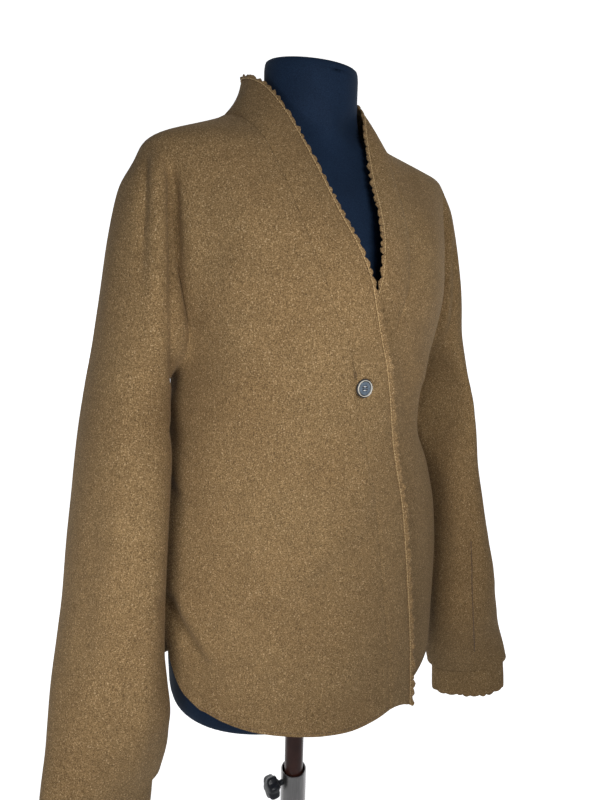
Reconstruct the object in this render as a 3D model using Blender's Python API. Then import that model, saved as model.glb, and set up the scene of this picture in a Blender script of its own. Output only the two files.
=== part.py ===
"""Wool jacket with a wrap front, worn by a limbless dress form on a round-base stand.

Metres, +Z up, floor at z = 0, the stand's pole on the Z axis. The front looks to -Y and the
wearer's right is -X. The jacket is a kimono cut: each front is one piece with the front half of
its sleeve, the back is one piece with both back half sleeves, and a band runs up both fronts and
stands up round the neck. Horizontal sections of the cloth's middle surface are worked out from the
tables below; each piece is a wall of constant thickness round its own part of that surface.
"""
import bpy
import math
import numpy as np

for _o in list(bpy.data.objects):
    bpy.data.objects.remove(_o, do_unlink=True)

# ------------------------------------------------------------------ named sizes
CLOTH = 0.0025          # thickness of the felted wool
SEAM = 0.0003           # gap between pieces that are sewn together
LAP = 0.0042            # how far the right front lies outside the left front
EDGE_STRIP = 0.006      # scalloped strip outside the stitch line
Z_HEM_SLEEVE = 0.754    # end of the sleeves, where the cuffs start
Z_CUFF = 0.711          # end of the cuffs
Z_ARM = 1.165           # underarm point
Z_VENT = 0.945          # top of the side vents
Z_NECK = 1.4295         # neck seam
ARCH = 0.010            # radius of the fold of cloth under the arm
BUTTON_R, BUTTON_T = 0.0082, 0.0026
BUTTON_AT = (-0.007, 1.167)

POLE_R, TUBE_R, TUBE_WALL = 0.012, 0.0165, 0.0018
Z_RIM = 0.644           # top of the outer tube
Z_POLE_LOW = 0.300      # the pole's lower end inside the tube
BASE_R, BASE_T = 0.190, 0.008
FORM_BOTTOM = 0.782

# ------------------------------------------------------------------ tables, a row for each section
# torso: half = half width at the side line, front / back = depth of cloth before and behind the
# axis, side = y of the side line, kf / kb = roundness of the front and back curves
TORSO = dict(
    z=    [0.740, 0.800, 0.870, 0.940, 1.000, 1.060, 1.110, 1.165, 1.200, 1.250, 1.300, 1.350, 1.378, 1.3930, 1.4005, 1.4050, 1.4100, 1.4165, 1.4235, 1.4295],
    half= [0.174, 0.176, 0.177, 0.178, 0.173, 0.157, 0.141, 0.146, 0.154, 0.162, 0.167, 0.173, 0.178, 0.176, 0.165, 0.152, 0.138, 0.119, 0.101, 0.0905],
    front=[0.128, 0.128, 0.127, 0.125, 0.124, 0.123, 0.123, 0.128, 0.131, 0.131, 0.118, 0.092, 0.073, 0.063, 0.056, 0.0505, 0.045, 0.038, 0.028, 0.018],
    back= [0.122, 0.122, 0.122, 0.119, 0.115, 0.108, 0.104, 0.109, 0.114, 0.118, 0.117, 0.110, 0.102, 0.097, 0.093, 0.090, 0.087, 0.084, 0.080, 0.0765],
    side= [0.004, 0.004, 0.004, 0.004, 0.004, 0.004, 0.006, 0.012, 0.012, 0.010, 0.010, 0.010, 0.010, 0.010, 0.010, 0.010, 0.010, 0.010, 0.011, 0.012],
    kf=   [0.585, 0.585, 0.585, 0.585, 0.580, 0.570, 0.560, 0.560, 0.560, 0.580, 0.590, 0.600, 0.600, 0.600, 0.600, 0.580, 0.560, 0.550, 0.550, 0.550],
    kb=   [0.580, 0.580, 0.580, 0.580, 0.580, 0.580, 0.580, 0.580, 0.590, 0.600, 0.600, 0.600, 0.580, 0.560, 0.550, 0.550, 0.550, 0.550, 0.550, 0.550])
# sleeve above the underarm: vf / vb = y of the front and back valley between body and sleeve,
# out / oy = the seam on the outside of the arm, fi, fo / bi, bo = how far the front and back
# curves reach: y of their inner handles, length of their outer ones; lean = sideways lean inside
SHOULDER = dict(
    z=   [1.165, 1.200, 1.250, 1.300, 1.350, 1.378, 1.3930, 1.4295],
    vf=  [0.012, -0.032, -0.038, -0.037, -0.032, -0.025, -0.020, -0.002],
    vb=  [0.012, 0.050, 0.056, 0.054, 0.048, 0.042, 0.038, 0.022],
    out= [0.2340, 0.2270, 0.2180, 0.2095, 0.1975, 0.1865, 0.1760, 0.0905],
    oy=  [0.012, 0.010, 0.008, 0.008, 0.008, 0.009, 0.010, 0.012],
    fi=  [-0.078, -0.083, -0.076, -0.061, -0.043, -0.030, -0.022, -0.003],
    fo=  [0.090, 0.084, 0.074, 0.058, 0.036, 0.022, 0.012, 0.006],
    bi=  [0.097, 0.092, 0.080, 0.066, 0.053, 0.044, 0.039, 0.023],
    bo=  [0.085, 0.070, 0.058, 0.046, 0.032, 0.020, 0.012, 0.006],
    lean=[0.000, 0.008, 0.012, 0.014, 0.014, 0.010, 0.006, 0.002])
# sleeve below the underarm: inn / iy = the underarm seam, out / oy = the outer seam, which turns
# forward on the way down, front / back = reach of the curves on both sides (4/3 of the depth)
SLEEVE = dict(
    z=    [0.700, 0.745, 0.760, 0.800, 0.850, 0.910, 1.000, 1.060, 1.110, 1.165],
    inn=  [0.203, 0.199, 0.195, 0.188, 0.182, 0.181, 0.1770, 0.1700, 0.165, 0.167],
    out=  [0.294, 0.2945, 0.293, 0.2875, 0.280, 0.270, 0.2590, 0.2515, 0.2440, 0.2340],
    iy=   [-0.022, -0.018, -0.018, -0.024, -0.036, -0.040, -0.030, -0.010, 0.006, 0.012],
    oy=   [-0.068, -0.064, -0.060, -0.045, -0.028, -0.010, 0.000, 0.006, 0.010, 0.012],
    front=[0.030, 0.032, 0.036, 0.050, 0.064, 0.076, 0.086, 0.090, 0.092, 0.090],
    back= [0.030, 0.032, 0.036, 0.050, 0.062, 0.072, 0.080, 0.083, 0.085, 0.085])
# front edge below the V, on the wearer's right front (mirrored for the left one): x at height z
EDGE = dict(
    z=[0.740, 0.781, 0.833, 0.893, 0.943, 1.040, 1.088, 1.139, 1.188, 1.230, 1.262],
    x=[0.0950, 0.0930, 0.0900, 0.0835, 0.0760, 0.0610, 0.0480, 0.0365, 0.0230, 0.0080, -0.0035])
# band of the right side above the V: outer edge point for the seam height z, then for the share u
# of the way round the back neck from the shoulder (0) to the middle (1)
BAND_WIDTH = 0.042
COLLAR = dict(
    z=   [ 1.1960,  1.2250,  1.2550,  1.2850,  1.3150,  1.3450,  1.3700,  1.3930,  1.4080,  1.4200,  1.4295],
    seam=[-0.0217, -0.0325, -0.0440, -0.0525, -0.0600, -0.0665, -0.0715, -0.0775, -0.0825, -0.0870, -0.0905],
    x=   [ 0.0203,  0.0095, -0.0010, -0.0100, -0.0190, -0.0270, -0.0345, -0.0420, -0.0490, -0.0550, -0.0615],
    y=   [-0.1302, -0.1330, -0.1350, -0.1245, -0.1040, -0.0790, -0.0590, -0.0405, -0.0240, -0.0050,  0.0150],
    up=  [ 1.1960,  1.2290,  1.2640,  1.2990,  1.3300,  1.3660,  1.3970,  1.4240,  1.4460,  1.4630,  1.4740])
COLLAR_BACK = dict(
    u= [0.0000,  0.2600,  0.5200,  0.7800,  1.0000],
    x= [-0.0615, -0.0620, -0.0520, -0.0290, 0.0000],
    y= [ 0.0150,  0.0360,  0.0560,  0.0690, 0.0735],
    up=[ 1.4740,  1.4800,  1.4810,  1.4790, 1.4780])
DROOP = 0.006           # how much lower the collar's left side stands
LEFT_SEAM = 0.013       # how much closer to the neck the left band seam runs
SLANT = 0.018           # how much higher the left sleeve's end is on its outer side
FULL = 0.013            # how much further out the body's right side stands below the underarm
SETTLE = 0.009          # how much lower the left shoulder lies between collar and arm
# the two arms hang a little differently: shifts of the outer seam (out, oy) and of the underarm seam
# (inn, iy), extra reach of the back curve, and lean of the front curve over towards the body
RIGHT_ARM = dict(
    z=    [0.700, 0.745, 0.780, 0.820, 0.860, 0.910, 0.950, 1.000, 1.060, 1.110, 1.165, 1.200, 1.250, 1.300, 1.350, 1.385],
    out=  [0.010, 0.0095, 0.008, 0.006, 0.006, 0.004, 0.002, 0.0015, 0.000, 0.000, 0.000, 0.000, 0.000, 0.000, 0.000, 0.000],
    oy=   [0.000] * 16,
    inn=  [-0.007, -0.012, -0.013, -0.010, -0.004, 0.000, 0.000, 0.000, 0.000, 0.000, 0.000, 0.000, 0.000, 0.000, 0.000, 0.000],
    iy=   [-0.011, -0.016, -0.018, -0.016, -0.009, -0.004, -0.003, -0.004, -0.004, -0.003, 0.000, 0.000, 0.000, 0.000, 0.000, 0.000],
    reach=[0.000] * 16,
    lean= [0.000, 0.000, 0.000, 0.000, 0.002, 0.004, 0.006, 0.010, 0.015, 0.020, 0.027, 0.017, 0.007, 0.002, 0.000, 0.000])
LEFT_ARM = dict(
    z=    RIGHT_ARM["z"],
    out=  [-0.006, -0.009, -0.010, -0.011, -0.013, -0.017, -0.020, -0.0230, -0.0210, -0.0170, -0.0145, -0.0105, -0.0095, -0.0080, -0.0060, 0.000],
    oy=   [-0.012, -0.014, -0.018, -0.022, -0.026, -0.026, -0.018, -0.008, 0.000, 0.000, 0.000, 0.000, 0.000, 0.000, 0.000, 0.000],
    inn=  [0.006, 0.004, 0.001, 0.000, 0.000, 0.000, 0.000, 0.000, 0.000, 0.000, 0.000, 0.000, 0.000, 0.000, 0.000, 0.000],
    iy=   [0.000] * 16,
    reach=[0.008, 0.008, 0.010, 0.012, 0.011, 0.006, 0.003, 0.000, 0.000, 0.000, 0.000, 0.000, 0.000, 0.000, 0.000, 0.000],
    lean= [0.000, 0.000, 0.000, 0.000, 0.000, -0.004, -0.006, -0.008, -0.008, -0.006, 0.000, 0.000, 0.000, 0.000, 0.000, 0.000])
# hems: height of the front hem from its front edge (u = 0) to the rounded side corner (u = 1),
# and of the back hem from the centre back (u = 0) to the side
HEM_FRONT = dict(u=[0.000, 0.080, 0.160, 0.280, 0.400, 0.520, 0.640, 0.720, 1.000],
                 z=[0.8030, 0.8000, 0.7990, 0.8030, 0.8100, 0.8170, 0.8250, 0.8310, 0.8310])
HEM_BAND = 0.7870       # hem at the front edge corner
TUCK = 0.009            # how much shorter the left front is where the right one covers it
HEM_BACK = dict(u=[0.0, 0.4, 0.8, 1.0], z=[0.7950, 0.8000, 0.8200, 0.8480])
# the front's side edge below the vent top: share of the width kept, share of the drop to the hem
VENT_EDGE = dict(share=[1.000, 0.930, 0.875, 0.845, 0.800, 0.720],
                 drop= [0.000, 0.240, 0.480, 0.690, 0.880, 1.000])
# dress form: half width, front and back depth, y of its side line, roundness
FORM = dict(
    z=    [0.782, 0.786, 0.794, 0.810, 0.890, 0.950, 1.000, 1.060, 1.110, 1.160, 1.220, 1.270, 1.310, 1.350, 1.375, 1.388, 1.398, 1.406, 1.412, 1.419, 1.428, 1.444, 1.490],
    half= [0.142, 0.150, 0.1555, 0.1585, 0.160, 0.156, 0.148, 0.130, 0.124, 0.129, 0.142, 0.148, 0.150, 0.154, 0.160, 0.158, 0.148, 0.132, 0.110, 0.086, 0.064, 0.0500, 0.0495],
    front=[0.091, 0.099, 0.1045, 0.108, 0.109, 0.107, 0.103, 0.095, 0.094, 0.102, 0.116, 0.112, 0.098, 0.078, 0.063, 0.056, 0.052, 0.050, 0.0495, 0.0490, 0.0490, 0.0490, 0.0490],
    back= [0.091, 0.099, 0.105, 0.109, 0.112, 0.109, 0.102, 0.090, 0.084, 0.088, 0.098, 0.102, 0.102, 0.096, 0.086, 0.079, 0.074, 0.069, 0.064, 0.059, 0.055, 0.0510, 0.0490],
    side= [0.002, 0.002, 0.002, 0.002, 0.002, 0.002, 0.002, 0.002, 0.003, 0.004, 0.005, 0.006, 0.008, 0.008, 0.009, 0.009, 0.009, 0.009, 0.009, 0.008, 0.005, 0.001, 0.000],
    k=    [0.560, 0.560, 0.560, 0.560, 0.560, 0.560, 0.560, 0.560, 0.560, 0.560, 0.560, 0.560, 0.560, 0.540, 0.480, 0.400, 0.320, 0.220, 0.150, 0.160, 0.300, 0.552, 0.552])


def smooth(t):
    t = np.clip(t, 0.0, 1.0)
    return t * t * (3.0 - 2.0 * t)


def along(xs, ys, x):
    """Monotone cubic through the rows of a table."""
    xs, ys = np.asarray(xs, float), np.asarray(ys, float)
    x = np.clip(np.asarray(x, float), xs[0], xs[-1])
    h, d = np.diff(xs), np.diff(ys) / np.diff(xs)
    m = np.zeros(len(xs))
    for i in range(1, len(xs) - 1):
        if d[i - 1] * d[i] > 0:
            w1, w2 = 2 * h[i] + h[i - 1], h[i] + 2 * h[i - 1]
            m[i] = (w1 + w2) / (w1 / d[i - 1] + w2 / d[i])
    m[0], m[-1] = d[0], d[-1]
    i = np.clip(np.searchsorted(xs, x, side="right") - 1, 0, len(xs) - 2)
    t = (x - xs[i]) / h[i]
    return ((2 * t**3 - 3 * t**2 + 1) * ys[i] + (t**3 - 2 * t**2 + t) * h[i] * m[i]
            + (-2 * t**3 + 3 * t**2) * ys[i + 1] + (t**3 - t**2) * h[i] * m[i + 1])


def at(table, name, z):
    return float(along(table["z"], table[name], z))


def cubic(p0, p1, p2, p3, t):
    t = np.asarray(t, float)[:, None]
    p0, p1, p2, p3 = (np.asarray(p, float)[None, :] for p in (p0, p1, p2, p3))
    return (1 - t)**3 * p0 + 3 * (1 - t)**2 * t * p1 + 3 * (1 - t) * t**2 * p2 + t**3 * p3


DENSE = np.linspace(0.0, 1.0, 241)


def quarter(half, depth, side, k, t):
    """Plan curve from the middle (0, depth) to the side line (half, side)."""
    return cubic((0, depth), (k * half, depth), (half, side + (depth - side) * k), (half, side), t)


def arch(z):
    """How far body and sleeve stand off the underarm point, just below it."""
    d = np.clip((Z_ARM - z) / ARCH, 0.0, 1.0)
    return ARCH * math.sqrt(max(0.0, 1.0 - (1.0 - d)**2))


def swell(z):
    """Sideways shift of the body's side line towards the underarm point."""
    return ARCH - arch(z) if z < Z_ARM else ARCH * (1 - float(smooth((z - Z_ARM) / 0.035)))


def torso_curve(z, part):
    """Dense plan curve from the middle front or back to the side line, at height z."""
    sign, k = (-1, "kf") if part == "front" else (1, "kb")
    side = at(TORSO, "side", z)
    c = quarter(at(TORSO, "half", z), sign * at(TORSO, part, z), side, at(TORSO, k, z), DENSE)
    c[:, 0] += swell(z) * smooth(1 - np.abs(c[:, 1] - (valley_y(z, part) if z > Z_ARM else side)) / 0.024)
    return c


def valley_y(z, part):
    """y of the valley between body and sleeve; it closes in a round arch at the underarm point."""
    y, y0 = at(SHOULDER, "vf" if part == "front" else "vb", z), at(TORSO, "side", Z_ARM)
    reach = 0.030
    d = np.clip((z - Z_ARM) / reach, 0.0, 1.0)
    full = at(SHOULDER, "vf" if part == "front" else "vb", max(z, Z_ARM + reach))
    return y0 + (full - y0) * math.sqrt(max(0.0, 1.0 - (1.0 - d)**2)) if z < Z_ARM + reach else y


def even(points, n, a=0.0, b=1.0, power=1.0):
    """n + 1 points evenly spaced along a dense polyline, between shares a and b of its length."""
    step = np.linalg.norm(np.diff(points, axis=0), axis=1)
    length = np.concatenate([[0.0], np.cumsum(step)])
    want = (a + (b - a) * np.linspace(0, 1, n + 1)**power) * length[-1]
    return np.stack([np.interp(want, length, points[:, i]) for i in range(points.shape[1])], 1)


def cut_curve(curve, axis, value):
    """Index position along a dense curve where its coordinate passes value."""
    c = curve[:, axis]
    if c[0] > c[-1]:
        return float(np.interp(-value, -c, np.arange(len(c))))
    return float(np.interp(value, c, np.arange(len(c))))


def piece_of(curve, i0, i1):
    """The dense curve between two index positions."""
    idx = np.linspace(i0, i1, 181)
    return np.stack([np.interp(idx, np.arange(len(curve)), curve[:, k]) for k in range(curve.shape[1])], 1)


def full_front(z):
    """Front plan curve from the right side line (-x) to the left side line (+x)."""
    c = torso_curve(z, "front")
    return np.concatenate([c[::-1] * [-1, 1], c[1:]])


def front_y(z, x):
    c = torso_curve(z, "front")
    return float(np.interp(abs(x), c[:, 0], c[:, 1]))


def edge_x(z):
    return float(along(EDGE["z"], EDGE["x"], z))


def lap(z, x):
    """How far the right front is pushed out where it lies on the left one."""
    left_edge = -edge_x(min(z, 1.262))
    return LAP * float(smooth((x - left_edge + 0.060) / 0.050)) * float(1 - smooth((z - 1.262) / 0.050))


# seam line between front and band as x against z, below and above the V
SEAM_Z = [0.740, 0.833, 0.943, 1.040, 1.139, 1.188] + COLLAR["z"]
SEAM_X = [edge_x(z) - BAND_WIDTH for z in SEAM_Z[:6]] + COLLAR["seam"]


def seam_x(z, side=-1):
    """The left seam runs closer to the neck above the chest."""
    near = LEFT_SEAM * float(smooth((z - 1.290) / 0.100) * smooth((Z_NECK - z) / 0.022)) if side > 0 else 0.0
    return float(along(SEAM_Z, SEAM_X, z)) + near


# ------------------------------------------------------------------ rows of the middle surface
def sleeve_arc(z, part, n, left=False):
    """Row from the valley or the underarm seam to the seam on the outside of the arm (right side +x here)."""
    f = part == "front"
    sign = -1 if f else 1
    arm = LEFT_ARM if left else RIGHT_ARM
    over = at(arm, "lean", z) if f else 0.0
    if z >= Z_ARM - 1e-9:
        curve = torso_curve(z, part)
        i = cut_curve(curve, 1, valley_y(z, part))
        v = piece_of(curve, i, i + 1e-6)[0]
        s = np.array([at(SHOULDER, "out", z), at(SHOULDER, "oy", z)])
        near = float(smooth((z - 1.165) / 0.05) * smooth((1.385 - z) / 0.04)) if left else 0.0
        s += [at(arm, "out", z), at(arm, "oy", z)]
        inner, outer = at(SHOULDER, "fi" if f else "bi", z), at(SHOULDER, "fo" if f else "bo", z)
        g = -ARCH * (1 - float(smooth((z - Z_ARM) / 0.035)))
        a = v - [g, 0]
        outer *= 1 - 0.35 * near * f
        arc = cubic(a, [a[0] + at(SHOULDER, "lean", z) - over, inner], s + [0, sign * outer], s, DENSE)
        arc[:, 0] += g * smooth(1 - np.abs(arc[:, 1] - a[1]) / 0.024) * smooth(1 - (arc[:, 0] - a[0]) / 0.030)
        w = float(smooth((z - 1.352) / 0.040))
        if w > 0:
            rest = piece_of(curve, i, len(curve) - 1)
            arc = even(arc, len(DENSE) - 1) * (1 - w) + even(rest, len(DENSE) - 1) * w
    else:
        a = np.array([at(SLEEVE, "inn", z) + at(arm, "inn", z), at(SLEEVE, "iy", z) + at(arm, "iy", z)])
        b = np.array([at(SLEEVE, "out", z) + at(arm, "out", z), at(SLEEVE, "oy", z) + at(arm, "oy", z)])
        d = (b - a) / np.linalg.norm(b - a)
        turn = np.array([min(d[1], 0.0), -d[0]])
        out = turn / np.linalg.norm(turn) * (1 if f else -1) * (at(SLEEVE, part, z) + (0 if f else at(arm, "reach", z)))
        arc = cubic(a, a + out - [over, 0], b + out, b, DENSE)
        arc[:, 0] -= (ARCH - arch(z)) * smooth(1 - np.abs(arc[:, 1] - a[1]) / 0.024) * smooth(1 - (arc[:, 0] - a[0]) / 0.030)
    return even(arc, n)


def body_arc(z, part, n, x0=None):
    """Row on the torso, from x0 (or the middle) to the valley, or to the side seam below the underarm."""
    curve = torso_curve(z, part)
    end = cut_curve(curve, 1, valley_y(z, part)) if z >= Z_ARM - 1e-9 else len(curve) - 1
    return even(piece_of(curve, 0, end), n)


def front_row(z, x_start, n, side):
    """Row of one front's body part from x_start to its own valley or side line, on that side.
    side -1 is the wearer's right; x_start is given for the right front and mirrored for the left."""
    c = full_front(z)                      # runs from -x to +x
    end = cut_curve(c, 0, x_start)
    quarter_c = torso_curve(z, "front")
    i = cut_curve(quarter_c, 1, valley_y(z, "front")) if z >= Z_ARM - 1e-9 else len(quarter_c) - 1
    start = (len(quarter_c) - 1) - i
    row = even(piece_of(c, end, start), n)
    if side > 0:
        row = row * [-1, 1]
    return row


def settle(x, z):
    """The left shoulder lies a little lower than the right one, and the left sleeve's end slants
    up towards its outer side."""
    low = SETTLE * float(smooth((x - 0.050) / 0.045) * smooth((0.185 - x) / 0.045) * smooth((z - 1.335) / 0.050))
    return low - SLANT * float(smooth((0.900 - z) / 0.150) * np.clip((x - 0.200) / 0.085, 0.0, 1.0))


def fullness(x, z):
    """The body's right side stands a little fuller under the arm, close to the sleeve."""
    return FULL * float(smooth((-x - 0.060) / 0.070) * smooth((0.156 + x) / 0.004) * smooth((z - 1.035) / 0.055) * smooth((1.163 - z) / 0.022))


# ------------------------------------------------------------------ middle surface of each piece
class Sheet:
    """A patch of the middle surface: points on a grid with missing cells allowed."""
    def __init__(self):
        self.v, self.f = [], []

    def add(self, p):
        self.v.append((float(p[0]) - fullness(p[0], p[2]), float(p[1]), float(p[2]) - settle(p[0], p[2])))
        return len(self.v) - 1

    def rows(self, rows):
        """Joins rows of vertex numbers with quads."""
        for a, b in zip(rows[:-1], rows[1:]):
            for i in range(len(a) - 1):
                q = [a[i], a[i + 1], b[i + 1], b[i]]
                q = [x for j, x in enumerate(q) if x not in q[:j]]
                if len(q) > 2:
                    self.f.append(q)


LEVELS_UP = [1.165, 1.1695, 1.179, 1.196, 1.225, 1.255, 1.285, 1.315, 1.345, 1.367, 1.383, 1.3935, 1.4010, 1.4070, 1.4130, 1.4190]
LEVELS_BODY = [1.1612, 1.154, 1.138, 1.110, 1.075, 1.035, 0.990, Z_VENT]
LEVELS_SLEEVE = [1.1612, 1.154, 1.138, 1.110, 1.070, 1.020, 0.965, 0.910, 0.860, 0.810, 0.775, Z_HEM_SLEEVE]
LEVELS_HEM = 5
N_BODY, N_SLEEVE, N_BACK, N_BAND = 8, 6, 7, 3


def to3(xy, z):
    z = np.broadcast_to(np.asarray(z, float), (len(xy),))
    return np.column_stack([xy, z])


def tuck(u, side):
    return TUCK * float(smooth(1 - u / 0.45)) if side > 0 else 0.0


def front_sheet(side):
    """Front with its half sleeve. side -1 right, +1 left. Columns run from the band seam outwards."""
    s = Sheet()
    mirror = np.array([1, 1, 1]) if side < 0 else np.array([-1, 1, 1])

    def body_row(z, zs=None, x_start=None):
        row = front_row(z, seam_x(z, side) if x_start is None else x_start, N_BODY, -1)
        p = to3(row, z if zs is None else zs)
        if side < 0:
            p[:, 1] -= [lap(z, x) for x in p[:, 0]]
        return p * mirror

    upper = []
    for z in LEVELS_UP:
        a = body_row(z)
        b = to3(sleeve_arc(z, "front", N_SLEEVE, side > 0) * [-1, 1], z) * mirror
        ids = [s.add(p) for p in a] + [s.add(p) for p in b[1:]]
        upper.append(ids)
    tip = s.add((side * TORSO["half"][-1], TORSO["side"][-1], Z_NECK))
    upper.append([tip] * len(upper[-1]))
    s.rows(upper)
    arm = upper[0]
    low = [arm[:N_BODY + 1]]
    for z in LEVELS_BODY:
        low.append([s.add(p) for p in body_row(z)])
    # below the vent the side edge curves in to the hem
    for share, drop in list(zip(VENT_EDGE["share"], VENT_EDGE["drop"]))[1:]:
        ids = []
        for j in range(N_BODY + 1):
            u = j / N_BODY * share
            z = Z_VENT + (float(along(HEM_FRONT["u"], HEM_FRONT["z"], u)) + tuck(u, side) - Z_VENT) * drop
            q = even(front_row(z, seam_x(z), 120, -1), 1, 0.0, max(u, 1e-6))[1] if j else front_row(z, seam_x(z), 120, -1)[0]
            p = np.array([q[0], q[1], z])
            if side < 0:
                p[1] -= lap(z, p[0])
            ids.append(s.add(p * mirror))
        low.append(ids)
    s.rows(low[::-1])
    sleeve = [arm[N_BODY:]]
    for z in LEVELS_SLEEVE:
        b = to3(sleeve_arc(z, "front", N_SLEEVE, side > 0) * [-1, 1], z) * mirror
        sleeve.append([s.add(p) for p in b])
    s.rows(sleeve[::-1])
    if side < 0:
        s.f = [f[::-1] for f in s.f]
    s.seams = dict(side=[r[-1] for r in low[:len(LEVELS_BODY) + 1]], under=[r[0] for r in sleeve],
                   over=[r[-1] for r in upper] + [r[-1] for r in sleeve[1:]],
                   front=[r[0] for r in upper] + [r[0] for r in low[1:]], cuff=sleeve[-1], top=upper[-1],
                   point=arm[N_BODY])
    return s


def back_sheet():
    s = Sheet()

    def body_row(z):
        half = to3(body_arc(z, "back", N_BACK), z)
        return np.concatenate([half[::-1] * [-1, 1, 1], half[1:]])

    upper = []
    for z in LEVELS_UP + [Z_NECK]:
        mid = [s.add(p) for p in body_row(z)]
        right = [s.add(p * [-1, 1, 1]) for p in to3(sleeve_arc(z, "back", N_SLEEVE), z)[1:]]
        left = [s.add(p) for p in to3(sleeve_arc(z, "back", N_SLEEVE, True), z)[1:]]
        upper.append(right[::-1] + mid + left)
    s.rows(upper)
    arm = upper[0]
    n, m = N_SLEEVE, 2 * N_BACK
    low = [arm[n:n + m + 1]]
    for z in LEVELS_BODY:
        low.append([s.add(p) for p in body_row(z)])
    for k in range(1, LEVELS_HEM):
        drop = k / (LEVELS_HEM - 1)
        ids = []
        for j in range(-N_BACK, N_BACK + 1):
            u = abs(j) / N_BACK
            z = Z_VENT + (float(along(HEM_BACK["u"], HEM_BACK["z"], u)) - Z_VENT) * drop
            q = body_arc(z, "back", N_BACK)[abs(j)]
            ids.append(s.add((math.copysign(q[0], j) if j else 0.0, q[1], z)))
        low.append(ids)
    s.rows(low[::-1])
    out = {}
    for name, a in (("right", -1), ("left", 1)):
        sleeve = [arm[:n + 1] if a < 0 else arm[n + m:]]
        for z in LEVELS_SLEEVE:
            arc = to3(sleeve_arc(z, "back", N_SLEEVE, a > 0), z) * [a, 1, 1]
            ids = [s.add(p) for p in arc]
            sleeve.append(ids[::-1] if a < 0 else ids)
        s.rows(sleeve[::-1])
        inner = -1 if a < 0 else 0
        outer = 0 if a < 0 else -1
        out[name] = dict(under=[r[inner] for r in sleeve], over=[r[outer] for r in upper] + [r[outer] for r in sleeve[1:]],
                         side=[r[0 if a < 0 else -1] for r in low[:len(LEVELS_BODY) + 1]], point=arm[n] if a < 0 else arm[n + m],
                         cuff=sleeve[-1])
    s.f = [f[::-1] for f in s.f]
    s.seams = out
    s.neck = upper[-1]
    return s


def band_line(a, e, bulge):
    """Points of one cross-line: seam point, points between, stitch line, outer edge."""
    out = np.array([a[0] + e[0], a[1] + e[1] - 0.02, 0.0])
    out /= np.linalg.norm(out)
    cut = 1 - EDGE_STRIP / np.linalg.norm(e - a)
    ts = list(np.linspace(0, cut, N_BAND + 1)) + [1.0]
    return np.array([a + (e - a) * t + out * bulge * 4 * t * (1 - t) for t in ts])


def band_rows(side):
    """Cross-lines of the right band from the hem up to the middle of the back neck."""
    lines = []
    levels = [(z, z) for z in [z for z in LEVELS_UP if z < 1.21][::-1] + LEVELS_BODY]
    for drop in VENT_EDGE["drop"][1:]:
        levels.append(tuple(Z_VENT + (h - Z_VENT) * drop for h in (HEM_FRONT["z"][0] + tuck(0, side), HEM_BAND if side < 0 else HEM_BAND + 0.033)))
    for z0, z1 in levels[::-1]:
        c = full_front(z0)
        strip = piece_of(c, cut_curve(c, 0, seam_x(z0)), cut_curve(c, 0, edge_x(z0)))
        total = np.linalg.norm(np.diff(strip, axis=0), axis=1).sum()
        cut = 1 - EDGE_STRIP / total
        p = to3(np.concatenate([even(strip, N_BAND, 0, cut), even(strip, 1, cut, 1)[1:]]), z0)
        p[:, 2] += (z1 - z0) * np.linspace(0, 1, len(p))**2
        lines.append(p)
    for z in [z for z in LEVELS_UP if z > 1.21]:
        a = np.array([*front_row(z, seam_x(z, side), N_BODY, -1)[0], z])
        e = np.array([float(along(COLLAR["z"], COLLAR[k], z)) for k in ("x", "y", "up")])
        e[0] += 0.15 * (seam_x(z, side) - seam_x(z))
        lines.append(band_line(a, e, 0.0030 * float(smooth((z - 1.21) / 0.06)) * float(1 - smooth((z - 1.40) / 0.03))))
    # the back's neck row, from the shoulder to the middle
    body, arc = body_arc(Z_NECK, "back", N_BACK), sleeve_arc(Z_NECK, "back", N_SLEEVE)
    row = np.concatenate([body, arc[1:]])[::-1] * [-1, 1]
    length = np.concatenate([[0.0], np.cumsum(np.linalg.norm(np.diff(row, axis=0), axis=1))])
    for q, u in zip(row, length / length[-1]):
        e = np.array([float(along(COLLAR_BACK["u"], COLLAR_BACK[k], u)) for k in ("x", "y", "up")])
        lines.append(band_line(np.array([*q, Z_NECK]), e, -0.0030))
    for p in lines:
        if side < 0:
            p[:, 1] -= [lap(q[2], q[0]) for q in p]
        else:
            share = np.linspace(0, 1, len(p)) * float(smooth((p[0, 2] - 1.400) / 0.030) * smooth(-p[0, 0] / 0.05))
            p[:, 2] -= DROOP * share
    return lines


def band_sheet(side):
    s = Sheet()
    mirror = np.array([1, 1, 1]) if side < 0 else np.array([-1, 1, 1])
    rows = [[s.add(p * mirror) for p in line] for line in band_rows(side)]
    s.rows([r for r in rows])
    s.f = [f[::-1] for f in s.f] if side > 0 else s.f
    s.lines = rows
    return s


# ------------------------------------------------------------------ walls
def vertex_normals(sheets):
    """Normals of all sheets together, so that pieces sewn to each other share them along the seam."""
    points = np.array([p for s in sheets for p in s.v])
    total = np.zeros_like(points)
    base = 0
    for s in sheets:
        for f in s.f:
            q = points[[base + i for i in f]]
            n = sum(np.cross(q[i] - q[0], q[(i + 1) % len(q)] - q[0]) for i in range(len(q)))
            for i in f:
                total[base + i] += n
        base += len(s.v)
    cells = {}
    for i, p in enumerate(points):
        cells.setdefault(tuple(np.floor(p / 0.001).astype(int)), []).append(i)
    normals = np.zeros_like(points)
    for i, p in enumerate(points):
        c = np.floor(p / 0.001).astype(int)
        for dx in (-1, 0, 1):
            for dy in (-1, 0, 1):
                for dz in (-1, 0, 1):
                    for j in cells.get((c[0] + dx, c[1] + dy, c[2] + dz), ()):
                        if np.linalg.norm(points[j] - p) < 0.00015:
                            normals[i] += total[j]
    normals /= np.maximum(np.linalg.norm(normals, axis=1), 1e-12)[:, None]
    out, base = [], 0
    for s in sheets:
        out.append(normals[base:base + len(s.v)])
        base += len(s.v)
    return out


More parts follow.
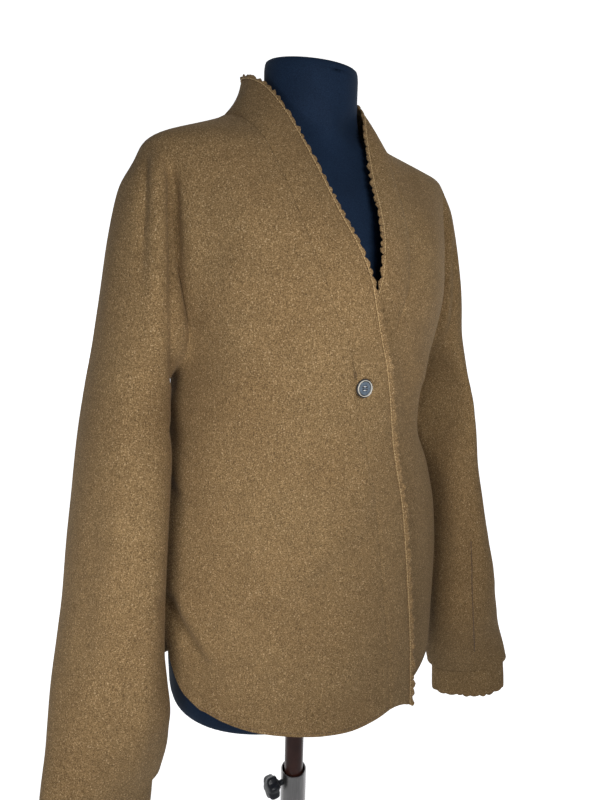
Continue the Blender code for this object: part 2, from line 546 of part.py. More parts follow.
def boundary(faces):
    count = {}
    for f in faces:
        for i in range(len(f)):
            a, b = f[i], f[(i + 1) % len(f)]
            count[(a, b)] = count.get((a, b), 0) + 1
    return [(a, b) for (a, b) in count if (b, a) not in count]


def wall(name, points, faces, normals, thick, material, shrink=SEAM / 2, lift=0.0):
    """Closed wall round a patch of the middle surface. Its edges draw back by half a seam gap."""
    pts = np.array(points, float)
    used = sorted({i for f in faces for i in f})
    remap = {old: new for new, old in enumerate(used)}
    faces = [[remap[i] for i in f] for f in faces]
    pts, nrm = pts[used], np.array(normals)[used]
    edges = boundary(faces)
    pull = np.zeros_like(pts)
    for a, b in edges:
        e = pts[b] - pts[a]
        for i in (a, b):
            inward = np.cross(nrm[i], e)
            ln = np.linalg.norm(inward)
            if ln > 1e-12:
                pull[i] += inward / ln
    for i in {i for e in edges for i in e}:
        ln = np.linalg.norm(pull[i])
        if ln > 1e-9:
            pts[i] = pts[i] + pull[i] / ln * shrink * (2.0 / max(ln, 0.8) if ln < 2.0 else 1.0)
    n = len(pts)
    verts = np.concatenate([pts + nrm * (thick / 2 + lift), pts - nrm * (thick / 2 - lift)])
    all_faces = []
    for f in faces:
        for k in range(1, len(f) - 1):
            all_faces.append((f[0], f[k], f[k + 1]))
            all_faces.append((f[0] + n, f[k + 1] + n, f[k] + n))
    rank = np.abs(pts[:, 0]) * 0.37 + pts[:, 1] * 0.11 + pts[:, 2]
    for a, b in edges:                      # both sides of a seam split their rims the same way
        if rank[a] < rank[b]:
            all_faces += [(a, a + n, b + n), (a, b + n, b)]
        else:
            all_faces += [(a, a + n, b), (b, a + n, b + n)]
    return solid(name, verts, all_faces, material)


def solid(name, verts, faces, material, smooth_deg=50):
    mesh = bpy.data.meshes.new(name)
    mesh.from_pydata([tuple(v) for v in np.asarray(verts, float)], [], [tuple(int(i) for i in f) for f in faces])
    mesh.validate()
    mesh.update()
    mesh.shade_smooth()
    mesh.set_sharp_from_angle(angle=math.radians(smooth_deg))
    mesh.materials.append(material)
    o = bpy.data.objects.new(name, mesh)
    bpy.context.scene.collection.objects.link(o)
    return o


def paint(name, rgb, rough, metal=0.0):
    m = bpy.data.materials.new(name)
    m.use_nodes = True
    b = m.node_tree.nodes["Principled BSDF"]
    b.inputs["Base Color"].default_value = (*rgb, 1)
    b.inputs["Roughness"].default_value = rough
    b.inputs["Metallic"].default_value = metal
    m.diffuse_color = (*rgb, 1)
    return m


def turned(name, profile, segments, material, origin=(0, 0, 0), lobes=None):
    """Body turned about Z from (r, z) points, outer side top to bottom; closed on the axis or as a ring."""
    verts, faces = [], []
    ring = profile[0][0] > 1e-6 and profile[-1][0] > 1e-6
    rows = []
    for r, z in profile:
        if r < 1e-6:
            rows.append([len(verts)])
            verts.append((0, 0, z))
        else:
            ids = []
            for k in range(segments):
                a = 2 * math.pi * k / segments
                rr = r * (1 + (lobes(a) if lobes else 0))
                ids.append(len(verts))
                verts.append((rr * math.cos(a), rr * math.sin(a), z))
            rows.append(ids)
    pairs = list(zip(rows[:-1], rows[1:])) + ([(rows[-1], rows[0])] if ring else [])
    for a, b in pairs:
        for k in range(segments):
            k2 = (k + 1) % segments
            if len(a) == 1 and len(b) == 1:
                continue
            if len(a) == 1:
                faces.append((a[0], b[k], b[k2]))
            elif len(b) == 1:
                faces.append((a[k], b[0], a[k2]))
            else:
                faces.append((a[k], b[k], b[k2]))
                faces.append((a[k], b[k2], a[k2]))
    return solid(name, verts, faces, material, 35)


# ------------------------------------------------------------------ materials
WOOL = paint("wool", (0.190, 0.120, 0.058), 0.95)
NAVY = paint("form_cover", (0.010, 0.016, 0.036), 0.85)
BUTTON_MAT = paint("button_plastic", (0.150, 0.180, 0.240), 0.35)
POLE_MAT = paint("pole_paint", (0.075, 0.030, 0.022), 0.35)
STEEL = paint("tube_steel", (0.420, 0.410, 0.410), 0.35, 1.0)
KNOB_MAT = paint("knob_plastic", (0.012, 0.014, 0.018), 0.45)
BASE_MAT = paint("base_paint", (0.035, 0.035, 0.038), 0.45)

# ------------------------------------------------------------------ jacket
right, left, back = front_sheet(-1), front_sheet(1), back_sheet()
band_r, band_l = band_sheet(-1), band_sheet(1)
n_right, n_left, n_back, n_br, n_bl = vertex_normals([right, left, back, band_r, band_l])

wall("back", back.v, back.f, n_back, CLOTH, WOOL)
wall("right_front", right.v, right.f, n_right, CLOTH, WOOL)
wall("left_front", left.v, left.f, n_left, CLOTH, WOOL)
for name, sheet, nrm in (("right", band_r, n_br), ("left", band_l, n_bl)):
    strip = {line[-1] for line in sheet.lines}
    wall(name + "_band", sheet.v, [f for f in sheet.f if not strip & set(f)], nrm, CLOTH, WOOL)
    wall(name + "_edge", sheet.v, [f for f in sheet.f if strip & set(f)], nrm, CLOTH, WOOL)


def cuff(name, a):
    """A tube below the sleeve's end, 2 mm slimmer than the sleeve where it is sewn in."""
    s = Sheet()
    rows = []
    n = N_SLEEVE
    for z in (Z_HEM_SLEEVE, 0.740, 0.725, Z_CUFF):
        f, b = sleeve_arc(z, "front", n, a > 0), sleeve_arc(z, "back", n, a > 0)
        ring = np.concatenate([f[:-1], b[::-1][:-1]])
        mid = ring.mean(0)
        ring = mid + (ring - mid) * (1 - 0.0020 / 0.045)
        ids = [s.add((a * p[0], p[1], z)) for p in ring]
        rows.append(ids + [ids[0]])
    s.rows(rows)
    if a < 0:
        s.f = [q[::-1] for q in s.f]
    # normals point away from the ring's middle
    nrm = vertex_normals([s])[0]
    mid = np.mean(np.array(s.v), 0)
    if np.sum((np.array(s.v) - mid) * nrm) < 0:
        s.f = [q[::-1] for q in s.f]
        nrm = vertex_normals([s])[0]
    wall(name, s.v, s.f, nrm, CLOTH, WOOL)


cuff("right_cuff", -1)
cuff("left_cuff", 1)

# button, on the right front's points moved out
bx, bz = BUTTON_AT
by = front_y(bz, bx) - lap(bz, bx) - CLOTH / 2 - 0.0011
button = turned("button", [(0, BUTTON_T), (BUTTON_R * 0.55, BUTTON_T), (BUTTON_R * 0.62, BUTTON_T * 1.25), (BUTTON_R * 0.92, BUTTON_T * 1.25),
                           (BUTTON_R, BUTTON_T * 0.85), (BUTTON_R * 0.95, 0.0004), (BUTTON_R * 0.80, 0), (0, 0)], 20, BUTTON_MAT)
button.rotation_euler = (math.radians(90), 0, 0)
button.location = (bx, by, bz)

# ------------------------------------------------------------------ dress form
N_FORM = 7                                     # points in each quarter of a section
form_levels = FORM["z"][:-1]
verts, rows = [], []


def form_ring(z, top_tilt=False):
    pts = []
    for part, sx in (("front", 1), ("back", 1), ("back", -1), ("front", -1)):
        sign = -1 if part == "front" else 1
        c = quarter(at(FORM, "half", z), sign * at(FORM, part, z), at(FORM, "side", z), at(FORM, "k", z), DENSE)
        q = even(c, N_FORM) * [sx, 1]
        if (part, sx) in (("back", 1), ("front", -1)):
            q = q[::-1]
        pts += list(q[:-1])
    return np.array(pts)


for z in form_levels:
    rows.append([len(verts) + i for i in range(4 * N_FORM)])
    verts += [(p[0], p[1], z - settle(p[0], z)) for p in form_ring(z)]
# slanted top of the neck, higher behind, with a rounded edge
for scale, z0 in ((1.0, 1.478), (0.985, 1.484), (0.93, 1.4875)):
    ring = form_ring(1.47) * scale
    rows.append([len(verts) + i for i in range(4 * N_FORM)])
    verts += [(p[0], p[1], z0 + 0.17 * p[1]) for p in ring]
faces = []
for a, b in zip(rows[:-1], rows[1:]):
    for k in range(len(a)):
        k2 = (k + 1) % len(a)
        faces += [(a[k], a[k2], b[k2]), (a[k], b[k2], b[k])]
verts.append((0, 0, FORM_BOTTOM))
verts.append((0, 0, 1.4885))
low_c, top_c = len(verts) - 2, len(verts) - 1
for k in range(4 * N_FORM):
    k2 = (k + 1) % (4 * N_FORM)
    faces.append((rows[0][k2], rows[0][k], low_c))
    faces.append((rows[-1][k], rows[-1][k2], top_c))
solid("dress_form", verts, faces, NAVY)

# ------------------------------------------------------------------ stand
turned("form_flange", [(0, FORM_BOTTOM - SEAM), (0.0345, FORM_BOTTOM - SEAM), (0.0360, 0.7812), (0.0360, 0.7796),
                       (0.0345, 0.7788), (0.0160, 0.7786), (0.0150, 0.7780), (0, 0.7780)], 24, KNOB_MAT)
turned("pole", [(0, 0.7777), (POLE_R - 0.0008, 0.7777), (POLE_R, 0.7769), (POLE_R, Z_POLE_LOW + 0.001), (POLE_R - 0.001, Z_POLE_LOW), (0, Z_POLE_LOW)], 20, POLE_MAT)
HOLE_R = 0.0036
tube = turned("stand_tube", [(TUBE_R, Z_RIM - 0.0008), (TUBE_R, 0.0405), (TUBE_R - TUBE_WALL, 0.0405), (TUBE_R - TUBE_WALL, Z_RIM - 0.0004),
                             (TUBE_R - 0.0012, Z_RIM), (TUBE_R - 0.0006, Z_RIM)], 24, STEEL)
turned("base_plate", [(0, BASE_T), (BASE_R - 0.006, BASE_T), (BASE_R - 0.0018, BASE_T - 0.0014), (BASE_R, BASE_T - 0.004), (BASE_R, 0.0012), (BASE_R - 0.0012, 0), (0, 0)], 48, BASE_MAT)
turned("base_hub", [(0.0170, 0.0640), (0.0215, 0.0640), (0.0225, 0.0630), (0.0225, 0.0300), (0.0300, 0.0180), (0.0460, BASE_T + 0.0035), (0.0475, BASE_T + SEAM),
                    (0.0100, BASE_T + SEAM), (0.0100, 0.0400), (0.0170, 0.0400)], 32, BASE_MAT)

# clamp knob: its screw runs towards the wearer's right, a little forward, square to the tube
KNOB_Z = 0.6305
KNOB_DIR = math.radians(180 + 4)
knob = turned("clamp_knob", [(0, 0.0235), (0.0085, 0.0235), (0.0120, 0.0215), (0.0130, 0.0190), (0.0130, 0.0120), (0.0115, 0.0098), (0.0060, 0.0092),
                             (0.0060, 0.0060), (0.0034, 0.0058), (0.0034, 0.0003), (0, 0.0003)], 30, KNOB_MAT,
              lobes=None)
me = knob.data
for v in me.vertices:
    r = math.hypot(v.co.x, v.co.y)
    if r > 0.0075:
        a = math.atan2(v.co.y, v.co.x)
        f = 1 + 0.10 * math.cos(6 * a)
        v.co.x *= f
        v.co.y *= f
knob.rotation_euler = (0, math.radians(90), KNOB_DIR)
knob.location = (math.cos(KNOB_DIR) * TUBE_R, math.sin(KNOB_DIR) * TUBE_R, KNOB_Z)
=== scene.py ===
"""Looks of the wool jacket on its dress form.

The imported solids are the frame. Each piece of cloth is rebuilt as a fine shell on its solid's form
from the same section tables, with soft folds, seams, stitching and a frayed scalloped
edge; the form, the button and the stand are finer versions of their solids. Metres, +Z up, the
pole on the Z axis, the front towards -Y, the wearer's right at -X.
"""
import math
import bpy
import numpy as np
from mathutils import Matrix, Vector, kdtree


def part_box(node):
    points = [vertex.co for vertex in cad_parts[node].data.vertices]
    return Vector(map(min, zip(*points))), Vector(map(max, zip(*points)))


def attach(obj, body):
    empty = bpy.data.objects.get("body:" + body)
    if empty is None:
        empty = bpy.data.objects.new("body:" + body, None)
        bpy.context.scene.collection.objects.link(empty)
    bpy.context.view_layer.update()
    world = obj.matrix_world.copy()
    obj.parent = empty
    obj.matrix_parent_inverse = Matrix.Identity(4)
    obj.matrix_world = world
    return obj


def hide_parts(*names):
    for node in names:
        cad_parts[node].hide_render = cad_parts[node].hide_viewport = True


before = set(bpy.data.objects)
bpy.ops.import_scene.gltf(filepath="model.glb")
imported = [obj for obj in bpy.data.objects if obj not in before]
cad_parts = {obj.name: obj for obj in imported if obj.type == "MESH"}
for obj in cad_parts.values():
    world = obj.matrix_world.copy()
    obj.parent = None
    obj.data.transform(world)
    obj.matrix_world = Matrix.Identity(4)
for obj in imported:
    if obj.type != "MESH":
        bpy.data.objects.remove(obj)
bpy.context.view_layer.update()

# ------------------------------------------------------------------ named sizes
CLOTH = 0.0025          # thickness of the felted wool
SEAM = 0.0003           # gap between pieces that are sewn together
LAP = 0.0042            # how far the right front lies outside the left front
EDGE_STRIP = 0.006      # scalloped strip outside the stitch line
Z_HEM_SLEEVE = 0.754    # end of the sleeves, where the cuffs start
Z_CUFF = 0.711          # end of the cuffs
Z_ARM = 1.165           # underarm point
Z_VENT = 0.945          # top of the side vents
Z_NECK = 1.4295         # neck seam
ARCH = 0.010            # radius of the fold of cloth under the arm
BUTTON_R, BUTTON_T = 0.0082, 0.0026
BUTTON_AT = (-0.007, 1.167)

POLE_R, TUBE_R, TUBE_WALL = 0.012, 0.0165, 0.0018
Z_RIM = 0.644           # top of the outer tube
Z_POLE_LOW = 0.300      # the pole's lower end inside the tube
BASE_R, BASE_T = 0.190, 0.008
FORM_BOTTOM = 0.782

# ------------------------------------------------------------------ tables, a row for each section
# torso: half = half width at the side line, front / back = depth of cloth before and behind the
# axis, side = y of the side line, kf / kb = roundness of the front and back curves
TORSO = dict(
    z=    [0.740, 0.800, 0.870, 0.940, 1.000, 1.060, 1.110, 1.165, 1.200, 1.250, 1.300, 1.350, 1.378, 1.3930, 1.4005, 1.4050, 1.4100, 1.4165, 1.4235, 1.4295],
    half= [0.174, 0.176, 0.177, 0.178, 0.173, 0.157, 0.141, 0.146, 0.154, 0.162, 0.167, 0.173, 0.178, 0.176, 0.165, 0.152, 0.138, 0.119, 0.101, 0.0905],
    front=[0.128, 0.128, 0.127, 0.125, 0.124, 0.123, 0.123, 0.128, 0.131, 0.131, 0.118, 0.092, 0.073, 0.063, 0.056, 0.0505, 0.045, 0.038, 0.028, 0.018],
    back= [0.122, 0.122, 0.122, 0.119, 0.115, 0.108, 0.104, 0.109, 0.114, 0.118, 0.117, 0.110, 0.102, 0.097, 0.093, 0.090, 0.087, 0.084, 0.080, 0.0765],
    side= [0.004, 0.004, 0.004, 0.004, 0.004, 0.004, 0.006, 0.012, 0.012, 0.010, 0.010, 0.010, 0.010, 0.010, 0.010, 0.010, 0.010, 0.010, 0.011, 0.012],
    kf=   [0.585, 0.585, 0.585, 0.585, 0.580, 0.570, 0.560, 0.560, 0.560, 0.580, 0.590, 0.600, 0.600, 0.600, 0.600, 0.580, 0.560, 0.550, 0.550, 0.550],
    kb=   [0.580, 0.580, 0.580, 0.580, 0.580, 0.580, 0.580, 0.580, 0.590, 0.600, 0.600, 0.600, 0.580, 0.560, 0.550, 0.550, 0.550, 0.550, 0.550, 0.550])
# sleeve above the underarm: vf / vb = y of the front and back valley between body and sleeve,
# out / oy = the seam on the outside of the arm, fi, fo / bi, bo = how far the front and back
# curves reach: y of their inner handles, length of their outer ones; lean = sideways lean inside
SHOULDER = dict(
    z=   [1.165, 1.200, 1.250, 1.300, 1.350, 1.378, 1.3930, 1.4295],
    vf=  [0.012, -0.032, -0.038, -0.037, -0.032, -0.025, -0.020, -0.002],
    vb=  [0.012, 0.050, 0.056, 0.054, 0.048, 0.042, 0.038, 0.022],
    out= [0.2340, 0.2270, 0.2180, 0.2095, 0.1975, 0.1865, 0.1760, 0.0905],
    oy=  [0.012, 0.010, 0.008, 0.008, 0.008, 0.009, 0.010, 0.012],
    fi=  [-0.078, -0.083, -0.076, -0.061, -0.043, -0.030, -0.022, -0.003],
    fo=  [0.090, 0.084, 0.074, 0.058, 0.036, 0.022, 0.012, 0.006],
    bi=  [0.097, 0.092, 0.080, 0.066, 0.053, 0.044, 0.039, 0.023],
    bo=  [0.085, 0.070, 0.058, 0.046, 0.032, 0.020, 0.012, 0.006],
    lean=[0.000, 0.008, 0.012, 0.014, 0.014, 0.010, 0.006, 0.002])
# sleeve below the underarm: inn / iy = the underarm seam, out / oy = the outer seam, which turns
# forward on the way down, front / back = reach of the curves on both sides (4/3 of the depth)
SLEEVE = dict(
    z=    [0.700, 0.745, 0.760, 0.800, 0.850, 0.910, 1.000, 1.060, 1.110, 1.165],
    inn=  [0.203, 0.199, 0.195, 0.188, 0.182, 0.181, 0.1770, 0.1700, 0.165, 0.167],
    out=  [0.294, 0.2945, 0.293, 0.2875, 0.280, 0.270, 0.2590, 0.2515, 0.2440, 0.2340],
    iy=   [-0.022, -0.018, -0.018, -0.024, -0.036, -0.040, -0.030, -0.010, 0.006, 0.012],
    oy=   [-0.068, -0.064, -0.060, -0.045, -0.028, -0.010, 0.000, 0.006, 0.010, 0.012],
    front=[0.030, 0.032, 0.036, 0.050, 0.064, 0.076, 0.086, 0.090, 0.092, 0.090],
    back= [0.030, 0.032, 0.036, 0.050, 0.062, 0.072, 0.080, 0.083, 0.085, 0.085])
# front edge below the V, on the wearer's right front (mirrored for the left one): x at height z
EDGE = dict(
    z=[0.740, 0.781, 0.833, 0.893, 0.943, 1.040, 1.088, 1.139, 1.188, 1.230, 1.262],
    x=[0.0950, 0.0930, 0.0900, 0.0835, 0.0760, 0.0610, 0.0480, 0.0365, 0.0230, 0.0080, -0.0035])
# band of the right side above the V: outer edge point for the seam height z, then for the share u
# of the way round the back neck from the shoulder (0) to the middle (1)
BAND_WIDTH = 0.042
COLLAR = dict(
    z=   [ 1.1960,  1.2250,  1.2550,  1.2850,  1.3150,  1.3450,  1.3700,  1.3930,  1.4080,  1.4200,  1.4295],
    seam=[-0.0217, -0.0325, -0.0440, -0.0525, -0.0600, -0.0665, -0.0715, -0.0775, -0.0825, -0.0870, -0.0905],
    x=   [ 0.0203,  0.0095, -0.0010, -0.0100, -0.0190, -0.0270, -0.0345, -0.0420, -0.0490, -0.0550, -0.0615],
    y=   [-0.1302, -0.1330, -0.1350, -0.1245, -0.1040, -0.0790, -0.0590, -0.0405, -0.0240, -0.0050,  0.0150],
    up=  [ 1.1960,  1.2290,  1.2640,  1.2990,  1.3300,  1.3660,  1.3970,  1.4240,  1.4460,  1.4630,  1.4740])
COLLAR_BACK = dict(
    u= [0.0000,  0.2600,  0.5200,  0.7800,  1.0000],
    x= [-0.0615, -0.0620, -0.0520, -0.0290, 0.0000],
    y= [ 0.0150,  0.0360,  0.0560,  0.0690, 0.0735],
    up=[ 1.4740,  1.4800,  1.4810,  1.4790, 1.4780])
DROOP = 0.006           # how much lower the collar's left side stands
LEFT_SEAM = 0.013       # how much closer to the neck the left band seam runs
SLANT = 0.018           # how much higher the left sleeve's end is on its outer side
FULL = 0.013            # how much further out the body's right side stands below the underarm
SETTLE = 0.009          # how much lower the left shoulder lies between collar and arm
# the two arms hang a little differently: shifts of the outer seam (out, oy) and of the underarm seam
# (inn, iy), extra reach of the back curve, and lean of the front curve over towards the body
RIGHT_ARM = dict(
    z=    [0.700, 0.745, 0.780, 0.820, 0.860, 0.910, 0.950, 1.000, 1.060, 1.110, 1.165, 1.200, 1.250, 1.300, 1.350, 1.385],
    out=  [0.010, 0.0095, 0.008, 0.006, 0.006, 0.004, 0.002, 0.0015, 0.000, 0.000, 0.000, 0.000, 0.000, 0.000, 0.000, 0.000],
    oy=   [0.000] * 16,
    inn=  [-0.007, -0.012, -0.013, -0.010, -0.004, 0.000, 0.000, 0.000, 0.000, 0.000, 0.000, 0.000, 0.000, 0.000, 0.000, 0.000],
    iy=   [-0.011, -0.016, -0.018, -0.016, -0.009, -0.004, -0.003, -0.004, -0.004, -0.003, 0.000, 0.000, 0.000, 0.000, 0.000, 0.000],
    reach=[0.000] * 16,
    lean= [0.000, 0.000, 0.000, 0.000, 0.002, 0.004, 0.006, 0.010, 0.015, 0.020, 0.027, 0.017, 0.007, 0.002, 0.000, 0.000])
LEFT_ARM = dict(
    z=    RIGHT_ARM["z"],
    out=  [-0.006, -0.009, -0.010, -0.011, -0.013, -0.017, -0.020, -0.0230, -0.0210, -0.0170, -0.0145, -0.0105, -0.0095, -0.0080, -0.0060, 0.000],
    oy=   [-0.012, -0.014, -0.018, -0.022, -0.026, -0.026, -0.018, -0.008, 0.000, 0.000, 0.000, 0.000, 0.000, 0.000, 0.000, 0.000],
    inn=  [0.006, 0.004, 0.001, 0.000, 0.000, 0.000, 0.000, 0.000, 0.000, 0.000, 0.000, 0.000, 0.000, 0.000, 0.000, 0.000],
    iy=   [0.000] * 16,
    reach=[0.008, 0.008, 0.010, 0.012, 0.011, 0.006, 0.003, 0.000, 0.000, 0.000, 0.000, 0.000, 0.000, 0.000, 0.000, 0.000],
    lean= [0.000, 0.000, 0.000, 0.000, 0.000, -0.004, -0.006, -0.008, -0.008, -0.006, 0.000, 0.000, 0.000, 0.000, 0.000, 0.000])
# hems: height of the front hem from its front edge (u = 0) to the rounded side corner (u = 1),
# and of the back hem from the centre back (u = 0) to the side
HEM_FRONT = dict(u=[0.000, 0.080, 0.160, 0.280, 0.400, 0.520, 0.640, 0.720, 1.000],
                 z=[0.8030, 0.8000, 0.7990, 0.8030, 0.8100, 0.8170, 0.8250, 0.8310, 0.8310])
HEM_BAND = 0.7870       # hem at the front edge corner
TUCK = 0.009            # how much shorter the left front is where the right one covers it
HEM_BACK = dict(u=[0.0, 0.4, 0.8, 1.0], z=[0.7950, 0.8000, 0.8200, 0.8480])
# the front's side edge below the vent top: share of the width kept, share of the drop to the hem
VENT_EDGE = dict(share=[1.000, 0.930, 0.875, 0.845, 0.800, 0.720],
                 drop= [0.000, 0.240, 0.480, 0.690, 0.880, 1.000])
# dress form: half width, front and back depth, y of its side line, roundness
FORM = dict(
    z=    [0.782, 0.786, 0.794, 0.810, 0.890, 0.950, 1.000, 1.060, 1.110, 1.160, 1.220, 1.270, 1.310, 1.350, 1.375, 1.388, 1.398, 1.406, 1.412, 1.419, 1.428, 1.444, 1.490],
    half= [0.142, 0.150, 0.1555, 0.1585, 0.160, 0.156, 0.148, 0.130, 0.124, 0.129, 0.142, 0.148, 0.150, 0.154, 0.160, 0.158, 0.148, 0.132, 0.110, 0.086, 0.064, 0.0500, 0.0495],
    front=[0.091, 0.099, 0.1045, 0.108, 0.109, 0.107, 0.103, 0.095, 0.094, 0.102, 0.116, 0.112, 0.098, 0.078, 0.063, 0.056, 0.052, 0.050, 0.0495, 0.0490, 0.0490, 0.0490, 0.0490],
    back= [0.091, 0.099, 0.105, 0.109, 0.112, 0.109, 0.102, 0.090, 0.084, 0.088, 0.098, 0.102, 0.102, 0.096, 0.086, 0.079, 0.074, 0.069, 0.064, 0.059, 0.055, 0.0510, 0.0490],
    side= [0.002, 0.002, 0.002, 0.002, 0.002, 0.002, 0.002, 0.002, 0.003, 0.004, 0.005, 0.006, 0.008, 0.008, 0.009, 0.009, 0.009, 0.009, 0.009, 0.008, 0.005, 0.001, 0.000],
    k=    [0.560, 0.560, 0.560, 0.560, 0.560, 0.560, 0.560, 0.560, 0.560, 0.560, 0.560, 0.560, 0.560, 0.540, 0.480, 0.400, 0.320, 0.220, 0.150, 0.160, 0.300, 0.552, 0.552])


def smooth(t):
    t = np.clip(t, 0.0, 1.0)
    return t * t * (3.0 - 2.0 * t)


def along(xs, ys, x):
    """Monotone cubic through the rows of a table."""
    xs, ys = np.asarray(xs, float), np.asarray(ys, float)
    x = np.clip(np.asarray(x, float), xs[0], xs[-1])
    h, d = np.diff(xs), np.diff(ys) / np.diff(xs)
    m = np.zeros(len(xs))
    for i in range(1, len(xs) - 1):
        if d[i - 1] * d[i] > 0:
            w1, w2 = 2 * h[i] + h[i - 1], h[i] + 2 * h[i - 1]
            m[i] = (w1 + w2) / (w1 / d[i - 1] + w2 / d[i])
    m[0], m[-1] = d[0], d[-1]
    i = np.clip(np.searchsorted(xs, x, side="right") - 1, 0, len(xs) - 2)
    t = (x - xs[i]) / h[i]
    return ((2 * t**3 - 3 * t**2 + 1) * ys[i] + (t**3 - 2 * t**2 + t) * h[i] * m[i]
            + (-2 * t**3 + 3 * t**2) * ys[i + 1] + (t**3 - t**2) * h[i] * m[i + 1])


def at(table, name, z):
    return float(along(table["z"], table[name], z))


def cubic(p0, p1, p2, p3, t):
    t = np.asarray(t, float)[:, None]
    p0, p1, p2, p3 = (np.asarray(p, float)[None, :] for p in (p0, p1, p2, p3))
    return (1 - t)**3 * p0 + 3 * (1 - t)**2 * t * p1 + 3 * (1 - t) * t**2 * p2 + t**3 * p3


DENSE = np.linspace(0.0, 1.0, 241)


def quarter(half, depth, side, k, t):
    """Plan curve from the middle (0, depth) to the side line (half, side)."""
    return cubic((0, depth), (k * half, depth), (half, side + (depth - side) * k), (half, side), t)


def arch(z):
    """How far body and sleeve stand off the underarm point, just below it."""
    d = np.clip((Z_ARM - z) / ARCH, 0.0, 1.0)
    return ARCH * math.sqrt(max(0.0, 1.0 - (1.0 - d)**2))


def swell(z):
    """Sideways shift of the body's side line towards the underarm point."""
    return ARCH - arch(z) if z < Z_ARM else ARCH * (1 - float(smooth((z - Z_ARM) / 0.035)))


def torso_curve(z, part):
    """Dense plan curve from the middle front or back to the side line, at height z."""
    sign, k = (-1, "kf") if part == "front" else (1, "kb")
    side = at(TORSO, "side", z)
    c = quarter(at(TORSO, "half", z), sign * at(TORSO, part, z), side, at(TORSO, k, z), DENSE)
    c[:, 0] += swell(z) * smooth(1 - np.abs(c[:, 1] - (valley_y(z, part) if z > Z_ARM else side)) / 0.024)
    return c


def valley_y(z, part):
    """y of the valley between body and sleeve; it closes in a round arch at the underarm point."""
    y, y0 = at(SHOULDER, "vf" if part == "front" else "vb", z), at(TORSO, "side", Z_ARM)
    reach = 0.030
    d = np.clip((z - Z_ARM) / reach, 0.0, 1.0)
    full = at(SHOULDER, "vf" if part == "front" else "vb", max(z, Z_ARM + reach))
    return y0 + (full - y0) * math.sqrt(max(0.0, 1.0 - (1.0 - d)**2)) if z < Z_ARM + reach else y


def even(points, n, a=0.0, b=1.0, power=1.0):
    """n + 1 points evenly spaced along a dense polyline, between shares a and b of its length."""
    step = np.linalg.norm(np.diff(points, axis=0), axis=1)
    length = np.concatenate([[0.0], np.cumsum(step)])
    want = (a + (b - a) * np.linspace(0, 1, n + 1)**power) * length[-1]
    return np.stack([np.interp(want, length, points[:, i]) for i in range(points.shape[1])], 1)


def cut_curve(curve, axis, value):
    """Index position along a dense curve where its coordinate passes value."""
    c = curve[:, axis]
    if c[0] > c[-1]:
        return float(np.interp(-value, -c, np.arange(len(c))))
    return float(np.interp(value, c, np.arange(len(c))))


def piece_of(curve, i0, i1):
    """The dense curve between two index positions."""
    idx = np.linspace(i0, i1, 181)
    return np.stack([np.interp(idx, np.arange(len(curve)), curve[:, k]) for k in range(curve.shape[1])], 1)


def full_front(z):
    """Front plan curve from the right side line (-x) to the left side line (+x)."""
    c = torso_curve(z, "front")
    return np.concatenate([c[::-1] * [-1, 1], c[1:]])


def front_y(z, x):
    c = torso_curve(z, "front")
    return float(np.interp(abs(x), c[:, 0], c[:, 1]))


def edge_x(z):
    return float(along(EDGE["z"], EDGE["x"], z))


def lap(z, x):
    """How far the right front is pushed out where it lies on the left one."""
    left_edge = -edge_x(min(z, 1.262))
    return LAP * float(smooth((x - left_edge + 0.060) / 0.050)) * float(1 - smooth((z - 1.262) / 0.050))


# seam line between front and band as x against z, below and above the V
SEAM_Z = [0.740, 0.833, 0.943, 1.040, 1.139, 1.188] + COLLAR["z"]
SEAM_X = [edge_x(z) - BAND_WIDTH for z in SEAM_Z[:6]] + COLLAR["seam"]


def seam_x(z, side=-1):
    """The left seam runs closer to the neck above the chest."""
    near = LEFT_SEAM * float(smooth((z - 1.290) / 0.100) * smooth((Z_NECK - z) / 0.022)) if side > 0 else 0.0
    return float(along(SEAM_Z, SEAM_X, z)) + near


